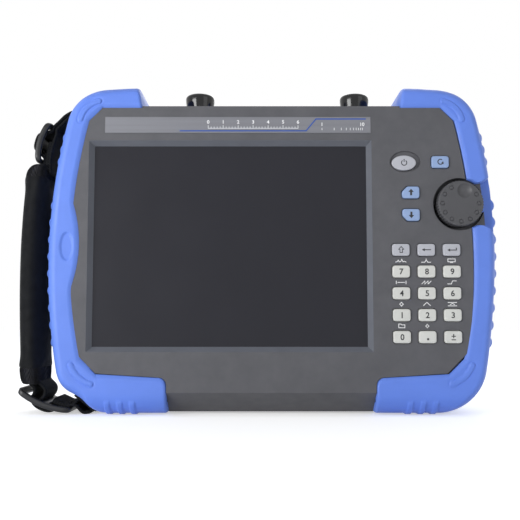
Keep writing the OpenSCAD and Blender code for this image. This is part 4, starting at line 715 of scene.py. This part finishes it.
# %% Printed lines
def stroke(path, width, front, thick=0.15):
    """A printed line along points in x and z, with its face at y = front.

    Each side lies half the width along the mean normal of the two segments, divided by the cosine of
    half their turn, so that corners keep the line's width.
    """
    path = np.array(path, float)
    way = unit(np.diff(path, axis=0))
    square = np.stack([-way[:, 1], way[:, 0]], -1)
    mean = np.concatenate([square[:1], square[:-1] + square[1:], square[-1:]])
    if np.allclose(path[0], path[-1]):
        mean[[0, -1]] = square[0] + square[-1]
    mean = unit(mean)
    near = np.concatenate([square[:1], square])
    reach = np.broadcast_to(np.array(width, float), len(path)) / 2 / np.maximum((mean * near).sum(1), 0.5)
    a, b = path + mean * reach[:, None], path - mean * reach[:, None]
    return skin(at_depths([a, b, b, a], [front, front, front + thick, front + thick], 1))


def ring(r, a0, a1, n=24):
    """Points on a circle of radius r from one angle to another, in degrees."""
    a = np.radians(np.linspace(a0, a1, n))
    return np.stack([r * np.cos(a), r * np.sin(a)], -1)


print("points and faces of a printed ring", [len(made) for made in stroke(ring(1.0, 0, 360), 0.2, FRONT)])

# %% Printed characters
def evaluated(item):
    """A mesh of what an object shows once its modifiers or its text are worked out."""
    return bpy.data.meshes.new_from_object(item.evaluated_get(bpy.context.evaluated_depsgraph_get()))


def points_of(mesh):
    """The points of a mesh, one to a row."""
    co = np.empty(3 * len(mesh.vertices))
    mesh.vertices.foreach_get("co", co)
    return co.reshape(-1, 3)


def letters(text, tall, x, z, front, thick=0.15):
    """Printed characters about (x, z): a text outline, 0.7 high for a digit, scaled to the given height."""
    curve = bpy.data.curves.new("letters", "FONT")
    curve.body = text
    curve.extrude = 0.1
    curve.offset = 0.02
    sheet = placed("letters", curve)
    bpy.context.view_layer.update()
    shape = evaluated(sheet)
    co = points_of(shape)
    faces = [list(p.vertices) for p in shape.polygons]
    bpy.data.objects.remove(sheet)
    bpy.data.curves.remove(curve)
    bpy.data.meshes.remove(shape)
    middle = (co.max(0) + co.min(0)) / 2
    flat = (co[:, :2] - middle[:2]) * tall / 0.7
    return np.stack([x + flat[:, 0], front + thick * (0.1 - co[:, 2]) / 0.2, z + flat[:, 1]], -1), faces


INKS = {
    "dark": finish("dark_ink", (36, 36, 40), 0.55, mottle=0.1, patch=400.0, relief=0.1),
    "white": finish("white_ink", (232, 232, 232), 0.6, mottle=0.04, patch=400.0, relief=0.1),
    "blue": finish("blue_ink", (24, 70, 152), 0.5, mottle=0.06, patch=300.0, relief=0.1),
}
print("inks", list(INKS))

# %% [markdown]
# A key's legend is printed on its crown and wears with it, so each is a piece of its own that rides
# on the key. An arrow is a line and a wedge: a wedge is a line whose width runs down to nothing.

# %% Legends on the keys
LINE = 0.6
HEAD = [2.0, 0.02]
SYMBOLS = {
    "shift": [([(0, 2.1), (-1.7, 0.3), (-0.8, 0.3), (-0.8, -1.8),
                (0.8, -1.8), (0.8, 0.3), (1.7, 0.3), (0, 2.1)], 0.5)],
    "back": [([(2.9, 0), (-1.4, 0)], LINE), ([(-1.2, 0), (-3.1, 0)], HEAD)],
    "enter": [([(2.9, 1.3), (2.9, -0.2), (-1.4, -0.2)], LINE), ([(-1.2, -0.2), (-3.1, -0.2)], HEAD)],
    "up": [([(0, -2.0), (0, 0.4)], 1.3), ([(0, 0.2), (0, 2.3)], [3.6, 0.02])],
    "down": [([(0, 2.0), (0, -0.4)], 1.3), ([(0, -0.2), (0, -2.3)], [3.6, 0.02])],
    "power": [(ring(1.75, 125, 415), LINE), ([(0, 0.6), (0, 2.5)], LINE)],
    "preset": [(ring(1.7, 50, 320), LINE), (ring(1.7, 316, 372, 3), [1.7, 0.9, 0.02])],
    "point": [([(-0.65, -1.3), (0.65, -1.3)], 1.3)],
    "sign": [([(-1.4, 0.6), (1.4, 0.6)], LINE), ([(0, -0.8), (0, 2.0)], LINE),
             ([(-1.4, -1.7), (1.4, -1.7)], LINE)],
}
PROUD, DIGIT_TALL = 0.03, 3.7
for name, (x, z, _) in KEYS.items():
    face = KEY_TOP - PROUD
    if name in SYMBOLS:
        marks = [stroke(np.array(path) + [x, z], width, face) for path, width in SYMBOLS[name]]
    else:
        marks = [letters(name, DIGIT_TALL, x, z, face)]
    piece(f"legend_of_key_{name}", marks, "key_" + name, INKS["dark"])

# %% [markdown]
# The white pictures above the keys are screen printed on the case in one go, so they are one piece
# that rides on it. Each is one or more open or closed lines about a point above its key.

# %% Marks on the case
MARKS = {
    "7": [[(-3.6, -0.9), (-2.4, -0.6), (-1.7, 0.4), (-1.1, -0.8), (0, -0.5), (0.6, 1.1),
           (1.3, -0.6), (2.4, -0.4), (3.6, -0.9)]],
    "8": [[(-3.2, -1), (-1, -1), (0, 0.6), (1, -1), (3.2, -1)], [(-0.25, 1.15), (0.25, 1.15)]],
    "9": [[(-2.4, -0.7), (2.4, -0.7), (2.4, 1.2), (-2.4, 1.2), (-2.4, -0.7)], [(-1, -1.2), (1, -1.2)]],
    "4": [[(-3.2, -1.1), (-3.2, 1.1)], [(3.2, -1.1), (3.2, 1.1)], [(-2.4, 0), (2.4, 0)]],
    "5": [[(-3.2, -1), (-1.1, 1), (-1.1, -1), (1, 1), (1, -1), (3.1, 1)]],
    "6": [[(-3, -1), (-0.4, -1), (0.4, 1), (3, 1)]],
    "1": [[(0, 1.2), (1.2, 0), (0, -1.2), (-1.2, 0), (0, 1.2)]],
    "2": [[(-2.4, -1), (0, 1.2), (2.4, -1)]],
    "3": [[(-3, 1.1), (3, 1.1)], [(-3, -1.1), (3, -1.1)], [(-1.6, -0.4), (0, 0.5), (1.6, -0.4)]],
    "0": [[(-2, -1.1), (2, -1.1), (2, 0.8), (0, 0.8), (-0.5, 1.3), (-2, 1.3), (-2, -1.1)]],
    "point": [ring(0.8, 0, 360), [(0, 0.8), (0, 1.4)], [(0, -0.8), (0, -1.4)],
              [(0.8, 0), (1.4, 0)], [(-0.8, 0), (-1.4, 0)]],
}
LABEL_UP, LABEL_LINE = 7.2, 0.45
marks = [stroke(np.array(path) + [KEYS[key][0], KEYS[key][1] + LABEL_UP], LABEL_LINE, FRONT - PROUD)
         for key, paths in MARKS.items() for path in paths]
piece("white_marks_over_keys", marks, "chassis", INKS["white"])

# %% [markdown]
# The name plate is a strip of brushed foil, screen printed with a blue line that has a step in it,
# and with a plain white scale. The scale's right part is divided as on a slide rule, by logarithms,
# so its marks are worked out and not drawn one by one.

# %% Scale and line on the name plate
PLATE_FACE, TICK = -38.24, 0.32
SCALE_Z, SCALE_X0, SCALE_X1, NUMBER_TALL = 190.3, -42.0, 18.0, 2.3
STEPPED = [(-61, 188.6), (23.4, 188.6), (30, 196.6), (63.3, 196.6)]
ticks = [stroke([(x, SCALE_Z), (x, SCALE_Z + (2.0 if k % 5 == 0 else 1.1))], TICK, PLATE_FACE)
         for k, x in enumerate(np.linspace(SCALE_X0, SCALE_X1, 31))]
ticks.append(stroke([(SCALE_X0 - 0.2, SCALE_Z), (SCALE_X1 + 0.2, SCALE_Z)], TICK, PLATE_FACE))
ticks += [letters(str(k), NUMBER_TALL, x, 194.6, PLATE_FACE)
          for k, x in enumerate(np.linspace(SCALE_X0, SCALE_X1, 7))]
decade = 34 + 27 * np.log10(np.arange(1, 11))
ticks += [stroke([(x, 189.0), (x, 190.6)], TICK, PLATE_FACE) for x in decade]
ticks += [letters(t, NUMBER_TALL, x, 193.0, PLATE_FACE) for t, x in (("1", decade[0]), ("10", decade[-1]))]
piece("scale_on_name_plate", ticks, "chassis", INKS["white"])
piece("line_on_name_plate", [stroke(STEPPED, 0.8, PLATE_FACE)], "chassis", INKS["blue"])

# %% [markdown]
# The opening for the screen has a sloping edge with mitred corners. It is given a satin grey that is
# lighter than the moulded case: a painted highlight for the light that the sloping edge catches. The
# case is a construction part and stays as it is, so the painted highlight is a thin skin over it: a ring
# with a thin section, carried round a rectangle.

# %% Painted highlight on the sloping edge of the screen opening
SCREEN_X, SCREEN_Z, SCREEN_HALF = -27.3, 112.0, np.array([91.0, 67.0])
ROUND_SCREEN = [(3.16, -38.0), (-0.04, -34.0), (0.1, -33.95), (3.3, -37.95)]
grow, depths = zip(*ROUND_SCREEN)
edge = at_depths([[SCREEN_X, SCREEN_Z] + SQUARE * (SCREEN_HALF + g) for g in grow], depths, 1)
# A lighter grey than the case, painted on as the highlight of the sloping edge.
lacquer = finish("lacquer", (97, 100, 108), 0.42, grain=1500.0, gloss=0.4)
piece("edge_of_screen_opening", [skin(edge, close_rows=True, capped=False)], "chassis", lacquer, sharp=20.0)

# %% [markdown]
# ## Knob and dust caps
# The knob is moulded with a knurled rim, a ring of raised dots to feel, and a dimple for a
# fingertip. In polar form its face is a height over radius and angle. Dots and teeth could be small
# solids joined to a disc, but one field of heights has no seams to clean.

# %% Tuning knob
KNOB_R, KNOB_FACE, KNOB_BACK, RIM_R = 15.2, -42.2, -30.6, 14.2
TEETH, TOOTH, DOT_RING, DOT_HIGH, GROOVE = 48, 0.45, 12.0, 0.2, 0.45
DISH_AT, DISH_ANGLE, DISH_R, DISH_SUNK = 8.8, math.radians(73), 7.0, 5.0
turn = full_turn(384)[None]
radii = np.concatenate([np.linspace(0.4, 10.2, 28), np.linspace(10.35, 13.8, 26), [14.0, RIM_R]])[:, None]
px, pz = radii * np.cos(turn), radii * np.sin(turn)
dots = np.min([np.hypot(px - DOT_RING * math.cos(a), pz - DOT_RING * math.sin(a))
               for a in np.radians(120 + 30 * np.arange(10))], axis=0)
off = np.hypot(px - DISH_AT * math.cos(DISH_ANGLE), pz - DISH_AT * math.sin(DISH_ANGLE))
dish = soft_max(np.sqrt(np.clip(DISH_R ** 2 - off ** 2, 0, None)) - DISH_SUNK, 0 * off, 0.1) - 0.05
groove = GROOVE * np.exp(-((dots - 1.3) / 0.22) ** 2)
face = KNOB_FACE - DOT_HIGH * ease((1.1 - dots) / 0.35) + groove + dish
tooth = (0.5 + 0.5 * np.cos(TEETH * turn)) ** 2
over = np.linspace(0, math.pi / 2, 6)[1:, None]
rim_r = RIM_R + np.sin(over) * (1 - TOOTH * tooth)
rim_y = KNOB_FACE + (1 - np.cos(over)) + 0 * tooth
side_y = np.linspace(KNOB_FACE + 1, KNOB_BACK, 7)[1:, None] + 0 * tooth
side_r = KNOB_R - TOOTH * tooth + 0 * side_y
grid_r = np.concatenate([radii + 0 * turn, rim_r, side_r, np.full((1, 384), 13.0)])
grid_y = np.concatenate([face, rim_y, side_y, np.full((1, 384), KNOB_BACK)])
knob = np.stack([KNOB_X + grid_r * np.cos(turn), grid_y, KNOB_Z + grid_r * np.sin(turn)], -1)
FINISHES["knob_plastic"] = finish("knob_plastic", (74, 74, 77), 0.5, grain=1500.0,
                                  relief=0.25, depth=0.06, gloss=0.35)
piece("knob_with_knurl", [skin(knob)], "knob", FINISHES["knob_plastic"], ["tuning_knob"])

# %% [markdown]
# A dust cap is a hard, shiny cup that narrows towards its foot, with a rounded top and a shallow dent
# in it. It has no knurl, so a profile of radius and height, spun round the jack's axis, is enough.

# %% Dust caps
def spin(profile, x, y, n=96):
    """A profile of radius and height turned about the upright line through (x, y)."""
    profile = np.array(profile, float)
    a = full_turn(n)[None]
    r, z = profile[:, :1], profile[:, 1:]
    return np.stack([x + r * np.cos(a), y + r * np.sin(a), z + 0 * a], -1)


CAP_LOW, CAP_HIGH, CAP_R, CAP_ROUND = 208.7, 223.2, 10.3, 2.6
up = np.linspace(0, 1, 14)[:, None]
wall_r = 9.1 + 1.2 * ease(up * 1.15) - 0.25 * np.sin(math.pi * up)
wall = np.concatenate([wall_r, CAP_LOW + 0.3 + 11.3 * up], 1)
bend = np.linspace(0, math.pi / 2, 9)[:, None]
crown = CAP_ROUND * np.concatenate([np.cos(bend), np.sin(bend)], 1) + [CAP_R, CAP_HIGH] - CAP_ROUND
dent = [(r, CAP_HIGH - down) for r, down in ((6.2, 0), (5.4, 0.25), (4.8, 0.75), (3, 0.8), (0.4, 0.8))]
cap_profile = np.concatenate([[(8.2, CAP_LOW), (8.9, CAP_LOW)], wall, crown, dent])
FINISHES["cap_plastic"] = finish("cap_plastic", (17, 17, 19), 0.14, mottle=0.08, vary=0.05, grain=200.0,
                                 relief=0.06, depth=0.04, gloss=0.4)
for name, x in (("output", -50.4), ("input", 60.4)):
    piece(f"{name}_dust_cap", [skin(spin(cap_profile, x, 0.0))], f"{name}_cap", FINISHES["cap_plastic"],
          [f"{name}_cap"])

# %% [markdown]
# ## Hand strap
# A woven strap comes out of a slot in the upper left corner, runs through a ladder buckle, a padded
# sleeve with a knit cuff at each end, a second buckle, and back into the lower corner. Webbing is
# a flat band swept along its path. It is stiff enough to be modelled directly.

# %% Smooth lines
def flowing(points, step=5.0, per=5):
    """A smooth line through points: long stretches are divided, then each gap is a cubic.

    Between b and c, with neighbours a and d, it is half of 2b + (c - a)t + (2a - 5b + 4c - d)t^2 +
    (3b - a - 3c + d)t^3.
    """
    p = np.array(points, float)
    walk = walked(p)
    gap = np.linalg.norm(np.diff(p, axis=0), axis=1)
    cuts = [np.linspace(s, s + g, max(1, int(g / step)), endpoint=False) for s, g in zip(walk, gap)]
    at = np.concatenate(cuts + [[walk[-1]]])
    p = np.stack([np.interp(at, walk, p[:, k]) for k in (0, 1)], -1)
    q = np.concatenate([2 * p[:1] - p[1:2], p, 2 * p[-1:] - p[-2:-1]])
    a, b, c, d = (q[k:len(q) - 3 + k, None] for k in range(4))
    t = np.linspace(0, 1, per, endpoint=False)[None, :, None]
    curve = (2 * a - 5 * b + 4 * c - d) * t ** 2 + (3 * b - a - 3 * c + d) * t ** 3
    made = 0.5 * (2 * b + (c - a) * t + curve)
    return np.concatenate([made.reshape(-1, 2), p[-1:]])


print("points of a smooth line through three corners", len(flowing([(0, 0), (10, 0), (10, 10)])))

# %% Ways round the corners and the buckles
WEB_T, WEB_W = 2.2, 30.0
SLEEVE_X, SLEEVE_LOW, SLEEVE_HIGH = -163.3, 29.5, 161.0
CUFF_LOW, CUFF_HIGH = SLEEVE_LOW - 9.6, SLEEVE_HIGH + 7.6
UPPER = ((SLEEVE_X + 5.6, TOP_Z - 7.0), 14.5, 29.0, 40.0)
LOWER = ((SLEEVE_X + 11.0, 6.6), -69.0, 38.0, 60.0)


def at_corner(x, z, r, degrees):
    """A point on a ray from the middle of a left corner of the case, at a distance r."""
    a = math.radians(degrees)
    return np.array([-x - r * math.cos(a), z + r * math.sin(a)])


def on_buckle(c, lean, along, proud):
    """x and z of a point along a buckle and proud of it, for a buckle at c that leans by an angle."""
    a = math.radians(lean)
    x = c[0] + along * math.sin(a) - proud * math.cos(a)
    z = c[1] + along * math.cos(a) + proud * math.sin(a)
    return np.stack([x, z], -1)


def threaded(place, side):
    """The webbing's way in one half of a buckle: over its bar, through the slot and behind its bowed end."""
    c, lean, long, bow = place
    clear = 2.25 + WEB_T / 2
    slot_end = long / 2 - 4
    along = np.array([3.9, (3 + slot_end) / 2, slot_end - 0.9, long / 2 - 1.5])
    sag = bow - np.sqrt(bow ** 2 - np.array([slot_end, long / 2 - 1.5]) ** 2)
    return on_buckle(c, lean, side * along, np.array([clear, 0, -clear - sag[0], -clear - sag[1]]))


def laid(place, steps):
    """A stretch of webbing beside a buckle, from pairs of a distance along it and a distance proud of it."""
    along, proud = np.array(steps, float).T
    return on_buckle(place[0], place[1], along, proud)


print("way through the upper buckle", threaded(UPPER, 1).round(1).tolist())

# %% Paths of the webbing
top_exit, low_exit = at_corner(TOP_X, TOP_Z, TOP_R + 1, 30), at_corner(LOW_X, LOW_Z, LOW_R, -52)
WAY = np.concatenate([
    [at_corner(TOP_X, TOP_Z, TOP_R - 15, 30), top_exit, top_exit + [-5.5, -2.6]],
    threaded(UPPER, 1)[::-1], threaded(UPPER, -1),
    [(SLEEVE_X + 8.1, CUFF_HIGH), (SLEEVE_X + 3.2, SLEEVE_HIGH + 0.5), (SLEEVE_X + 1, SLEEVE_HIGH - 7),
     (SLEEVE_X, SLEEVE_HIGH - 15), (SLEEVE_X, SLEEVE_LOW + 12), (SLEEVE_X + 1.5, SLEEVE_LOW - 9),
     (SLEEVE_X + 4.2, CUFF_LOW - 2.4), (SLEEVE_X + 4.4, CUFF_LOW - 6.4)],
    threaded(LOWER, 1)[1::-1], threaded(LOWER, -1),
    [low_exit, at_corner(LOW_X, LOW_Z, LOW_R - 16, -52)]])
hang = laid(UPPER, [(11.8, -7.8), (8, -8.2), (-3, -8), (-9, -8.6), (-13.5, -9.8), (-19, -11.5)])
TAIL = np.concatenate([[top_exit, top_exit + [-4.1, -4.7]], hang])
on_floor = WEB_T / 2 + 0.1
under = [(-LOW_X - 20.6, on_floor + 4.4), (-LOW_X - 16, on_floor), (-LOW_X - 11.5, on_floor)]
LOW_TAIL = np.concatenate([threaded(LOWER, -1)[2:], under])
TUCK = np.array([at_corner(LOW_X, LOW_Z, r, -a)
                 for r, a in ((30.7, 46), (30.5, 55), (31.2, 64), (32.3, 72), (33.0, 78))])
TOP_PLY = laid(UPPER, [(2, -6.6), (-4, -6.6), (-9, -7.2), (-14, -8.0), (-17.5, -8.6)])
LOW_PLY = laid(LOWER, [(-5, -4.2), (-9, -4.0), (-13, -3.8), (-17, -5.0)])
turned = [(SLEEVE_X + 3, SLEEVE_LOW - 3), (SLEEVE_X + 7.5, CUFF_LOW + 1),
          (SLEEVE_X + 11.5, CUFF_LOW - 3.4), (SLEEVE_X + 11, CUFF_LOW - 8)]
FOLD = np.concatenate([turned, threaded(LOWER, 1)[:1] + [0, 2.3]])
print("webbing length in mm", walked(flowing(WAY))[-1].round(1))

# %% [markdown]
# Webbing shows its weave as a fine relief. Two waves, one along the band and one across it, could be
# modelled as threads, but at this size a bump in the material does the same with no extra faces.

# %% Woven finish
def woven(name, rgb, along, across, depth):
    """A finish with a weave in its relief, from waves along and across the band in its own coordinates.

    A thread shows on top where both waves are high or both are low, as in a plain weave.
    """
    made = finish(name, rgb, 0.85, mottle=0.3, patch=260.0, grain=1800.0, gloss=0.15)
    tree = made.node_tree
    uv = add(tree, "ShaderNodeUVMap", uv_map="weave")
    waves = [add(tree, "ShaderNodeTexWave", {"Scale": s, "Distortion": 0.6, "Detail": 1.0}, bands_direction=d)
             for s, d in ((along, "X"), (across, "Y"))]
    high = add(tree, "ShaderNodeMath", operation="MULTIPLY")
    flip = [add(tree, "ShaderNodeInvert") for _ in waves]
    deep = add(tree, "ShaderNodeMath", operation="MULTIPLY")
    top = add(tree, "ShaderNodeMath", operation="MAXIMUM")
    weave = add(tree, "ShaderNodeBump", {"Strength": 0.8, "Distance": depth * MM})
    for k, wave in enumerate(waves):
        tree.links.new(uv.outputs["UV"], wave.inputs["Vector"])
        tree.links.new(wave.outputs["Fac"], high.inputs[k])
        tree.links.new(wave.outputs["Color"], flip[k].inputs["Color"])
        tree.links.new(flip[k].outputs["Color"], deep.inputs[k])
    tree.links.new(high.outputs[0], top.inputs[0])
    tree.links.new(deep.outputs[0], top.inputs[1])
    tree.links.new(top.outputs[0], weave.inputs["Height"])
    tree.links.new(tree.nodes[made["relief"]].outputs["Normal"], weave.inputs["Normal"])
    tree.links.new(weave.outputs["Normal"], tree.nodes["Principled BSDF"].inputs["Normal"])
    return made


FINISHES["webbing"] = woven("webbing", (20, 21, 23), 1.7, 1.3, 0.5)
print("woven finish", FINISHES["webbing"].name)

# %% [markdown]
# The strap is not one band: its tails hang free, its ends are folded over the buckles, and a tuck of
# it lies in the hollow of the corner. Each of these is a band along its own path, and they are joined
# into one piece because they are sewn together.

# %% Webbing
def band(path, thick, wide, y):
    """A flat band along a path: at each point, a strip with rounded edges, square to the path.

    Returns its grid and, for the weave, the distance along it and the place across it in cm.
    """
    way = unit(np.gradient(path, axis=0))
    square = np.stack([-way[:, 1], way[:, 0]], -1)
    r = thick / 2
    half = np.linspace(-1, 1, 14) * (wide / 2 - r)
    a = np.linspace(-math.pi / 2, math.pi / 2, 7)[1:-1]
    rim = wide / 2 - r + r * np.cos(a)
    cross_y = np.concatenate([half, rim, half[::-1], -rim])
    cross_n = np.concatenate([np.full(14, -r), r * np.sin(a), np.full(14, r), -r * np.sin(a)])
    xz = path[:, None] + square[:, None] * cross_n[None, :, None]
    grid = np.stack([xz[..., 0], np.broadcast_to(y + cross_y, xz.shape[:2]), xz[..., 1]], -1)
    uv = np.stack(np.broadcast_arrays(walked(path)[:, None], cross_y[None]), -1) / 10
    return grid, uv.reshape(-1, 2)


bands = [band(flowing(p), WEB_T, WEB_W, STRAP_Y) for p in (WAY, TAIL, LOW_TAIL, TUCK, FOLD)]
bands += [band(flowing(p), 2 * WEB_T, WEB_W, STRAP_Y) for p in (TOP_PLY, LOW_PLY)]
piece("woven_strap", [skin(g) for g, _ in bands], "chassis", FINISHES["webbing"],
      ["strap_webbing"], uv=np.concatenate([w for _, w in bands]))

# %% [markdown]
# Each buckle is a bowed plastic ladder: a rounded frame and a middle bar that the webbing climbs
# over. The frame is a small rounded section carried round a rounded rectangle, and the bar is a
# flatter section carried across it; both are bent to the buckle's bow. Slots cut into a plate would
# leave sharp edges, and a moulded buckle has none that could fray the strap.

# %% Buckles
BUCKLE_HALF, BAR_HALF = 17.2, 16.6


def soft(v, power=0.55):
    """A sine or cosine pushed outwards, for a section with soft corners: its size raised to a power."""
    return np.sign(v) * np.abs(v) ** power


def section(half_a, half_b, n=20):
    """A soft-cornered closed section: half sizes times the pushed cosine and sine."""
    a = full_turn(n)
    return half_a * soft(np.cos(a)), half_b * soft(np.sin(a))


def bowed(c, lean, bow, along, y, proud):
    """Points of a buckle in space: pulled in by the sag of its bow, bow - sqrt(bow^2 - along^2)."""
    sag = bow - np.sqrt(bow ** 2 - along ** 2)
    xz = on_buckle(c, lean, along, proud - sag)
    return np.stack([xz[..., 0], STRAP_Y + y, xz[..., 1]], -1)


def buckle(c, lean, long, bow):
    """Frame and middle bar of a buckle."""
    edge = rounded(SQUARE * [long / 2 - 2, BUCKLE_HALF], [2.4] * 4, 160)
    way = unit(np.roll(edge, -1, 0) - np.roll(edge, 1, 0))
    side, proud = section(1.85, 2.0)
    around = edge[:, None] + np.stack([way[:, 1], -way[:, 0]], -1)[:, None] * side[None, :, None]
    frame_grid = bowed(c, lean, bow, around[..., 0], around[..., 1], np.broadcast_to(proud, around.shape[:2]))
    flat, proud = section(2.9, 1.95)
    y = np.linspace(-BAR_HALF, BAR_HALF, 12)[:, None]
    bar_grid = bowed(c, lean, bow, flat + 0 * y, y + 0 * flat, proud + 0 * y)
    return [skin(frame_grid, close_rows=True, capped=False), skin(bar_grid)]


FINISHES["buckle_plastic"] = finish("buckle_plastic", (24, 25, 28), 0.4, mottle=0.1, relief=0.15, gloss=0.35)
for name, place in (("upper", UPPER), ("lower", LOWER)):
    piece(f"{name}_ladder_buckle", buckle(*place), "chassis", FINISHES["buckle_plastic"],
          [f"{name}_buckle"])

# %% [markdown]
# The sleeve is foam covered in a stretch fabric: full in the middle, drawn in at its ends, with a
# sewn seam down its front edge and faint folds where the cuffs gather it. It starts as a soft
# section that is a little too small. A cloth simulation blows it up from inside, as the foam does,
# with its two ends held by the cuffs. The seam is drawn in afterwards.

# %% Form of the sleeve
HEM, TIGHT, PAD_HALF_X, PAD_HALF_Y = 1.2, 1.2, 8.2, 23.0
turn = full_turn(96)[None]


def bent(s):
    """How far the strap pulls the sleeve towards the case, from s = -1 at its foot to s = 1 at its top."""
    return (1.8 + 0.6 * s) * s ** 2


def sleeve_form(less):
    """The sleeve as rings of soft sections, smaller by some mm all round, with folds that fade inwards.

    Its half sizes shrink with s^2 and s^4 towards the ends at s = -1 and 1, which are also tucked in.
    """
    long = SLEEVE_HIGH - SLEEVE_LOW
    first = np.array([0, 0.4, 0.9])
    along = np.concatenate([first, np.linspace(1.6, long - 1.6, 90), long - first[::-1]])[:, None]
    s = 2 * along / long - 1
    tuck = quarter_round(np.minimum(along, long - along), HEM)
    gather = np.exp(-((1 - np.abs(s)) / 0.1) ** 2)
    grow = 0.4 * gather * np.sin(9 * turn + 1.3 * np.sin(3 * turn)) - tuck - less * (1 - gather)
    half_x = PAD_HALF_X - 0.4 * s ** 4 + grow
    half_y = PAD_HALF_Y - 1.6 * s ** 2 + grow
    x, y = SLEEVE_X + bent(s) + half_x * soft(np.cos(turn)), STRAP_Y + half_y * soft(np.sin(turn))
    return np.stack([x, y, SLEEVE_LOW + along + 0 * turn], -1)


form = sleeve_form(TIGHT)
print("rings of the sleeve", len(form), "height in mm", np.ptp(form[..., 2]).round(1))

# %% Cloth blown up from inside
def swelled(points, faces, voxel, pressure, cap, held):
    """A closed form blown up by a cloth simulation, remeshed in cubes of the voxel's size in mm.

    No point moves by more than the cap in mm, and those that held(z) picks stay where they are.
    """
    shape = bpy.data.meshes.new("swelling")
    shape.from_pydata((points * MM).tolist(), [], faces)
    blank = placed("swelling", shape)
    remesh = blank.modifiers.new("remesh", "REMESH")
    remesh.voxel_size = voxel * MM
    even = evaluated(blank)
    bpy.data.objects.remove(blank)
    cover = placed("swelling", even)
    start = points_of(even)
    grip = cover.vertex_groups.new(name="held")
    grip.add(np.flatnonzero(held(start[:, 2] / MM)).tolist(), 1.0, "REPLACE")
    cloth = cover.modifiers.new("cloth", "CLOTH")
    cloth.settings.vertex_group_mass = "held"
    cloth.settings.use_pressure = True
    cloth.settings.uniform_pressure_force = pressure
    cloth.settings.effector_weights.gravity = 0.0
    for moment in range(1, 21):
        scene.frame_set(moment)
    done = evaluated(cover)
    move = points_of(done) - start
    far = np.linalg.norm(move, axis=1)
    print("swelled", len(start), "points, by", (np.percentile(far, [50, 99]) / MM).round(2), "mm")
    move *= np.minimum(1, cap * MM / np.maximum(far, 1e-9))[:, None]
    faces = [list(p.vertices) for p in done.polygons]
    scene.frame_set(1)
    bpy.data.objects.remove(cover)
    return (start + move) / MM, faces


def by_the_cuffs(z):
    """True at the heights where the cuffs hold the cover."""
    return (z < SLEEVE_LOW + 2) | (z > SLEEVE_HIGH - 2)


VOXEL, PRESSURE, MOST = 2.2, 12.0, 2.0
foam, cover_faces = skin(form)
foam, cover_faces = swelled(foam, cover_faces, VOXEL, PRESSURE, MOST, by_the_cuffs)
print("points of the cover", len(foam))

# %% Padded sleeve
SEAM_DEEP, SEAM_WIDE, SEAM_LEFT, SEAM_MIDDLE, SEAM_HALF = 0.9, 1.1, 1.5, 95.0, 66.0
FINISHES["neoprene"] = finish("neoprene", (21, 22, 24), 0.85, mottle=0.22, patch=90.0, grain=1400.0,
                              relief=0.6, depth=0.25, gloss=0.15, sheen=0.04)
off_seam = foam[:, 0] - SLEEVE_X - bent((foam[:, 2] - SEAM_MIDDLE) / SEAM_HALF) + SEAM_LEFT
foam[:, 1] += SEAM_DEEP * np.exp(-(off_seam / SEAM_WIDE) ** 2) * (foam[:, 1] < STRAP_Y - 15)
pad = piece("padded_sleeve", [(foam, cover_faces)], "chassis", FINISHES["neoprene"],
            ["grip_sleeve"], sharp=180.0)
finer = pad.modifiers.new("finer", "SUBSURF")
finer.levels = finer.render_levels = 1

# %% [markdown]
# The cuffs are knitted tubes that close over the webbing like the end of a sock. The knit's ribs are
# real geometry, a wave round the section that also climbs a little along it, because they show at the
# edge of the shape.

# %% Knit cuffs
LIP, CUFF_HALF_X, CUFF_HALF_Y = 0.8, 7.0, 20.7
around = full_turn(448)[None]


def cuff(z0, z1, start, shift, thin):
    """A cuff from the sleeve's end at z0 to the webbing at z1: a ribbed section that closes round it.

    With t from 0 to 1 along it, what it has drawn in is 1 - sqrt(1 - t^2) of the whole.
    """
    t = np.linspace(0, 1, 48)[:, None]
    drawn = 1 - np.sqrt(1 - t ** 2)
    lip = quarter_round(np.abs(z1 - z0) * np.minimum(t, 1 - t), LIP)
    rib = 0.32 * np.cos(60 * around + 18 * t) - lip
    hx = CUFF_HALF_X - thin * drawn + rib
    hy = CUFF_HALF_Y - 1.6 * drawn + rib
    x = SLEEVE_X + start + shift * drawn + hx * soft(np.cos(around))
    return np.stack([x, STRAP_Y + hy * soft(np.sin(around)), z0 + (z1 - z0) * t + 0 * around], -1)


FINISHES["knit"] = finish("knit", (34, 34, 37), 0.9, mottle=0.3, patch=300.0, grain=1600.0,
                          relief=0.6, depth=0.2, gloss=0.15, sheen=0.05)
upper_cuff = cuff(SLEEVE_HIGH - 1.5, CUFF_HIGH, bent(1), 4.6, 3.2)
lower_cuff = cuff(SLEEVE_LOW + 1.5, CUFF_LOW, bent(-1), 1.4, 2.0)
piece("knit_cuffs", [skin(upper_cuff), skin(lower_cuff)], "chassis", FINISHES["knit"], ["grip_cuffs"])
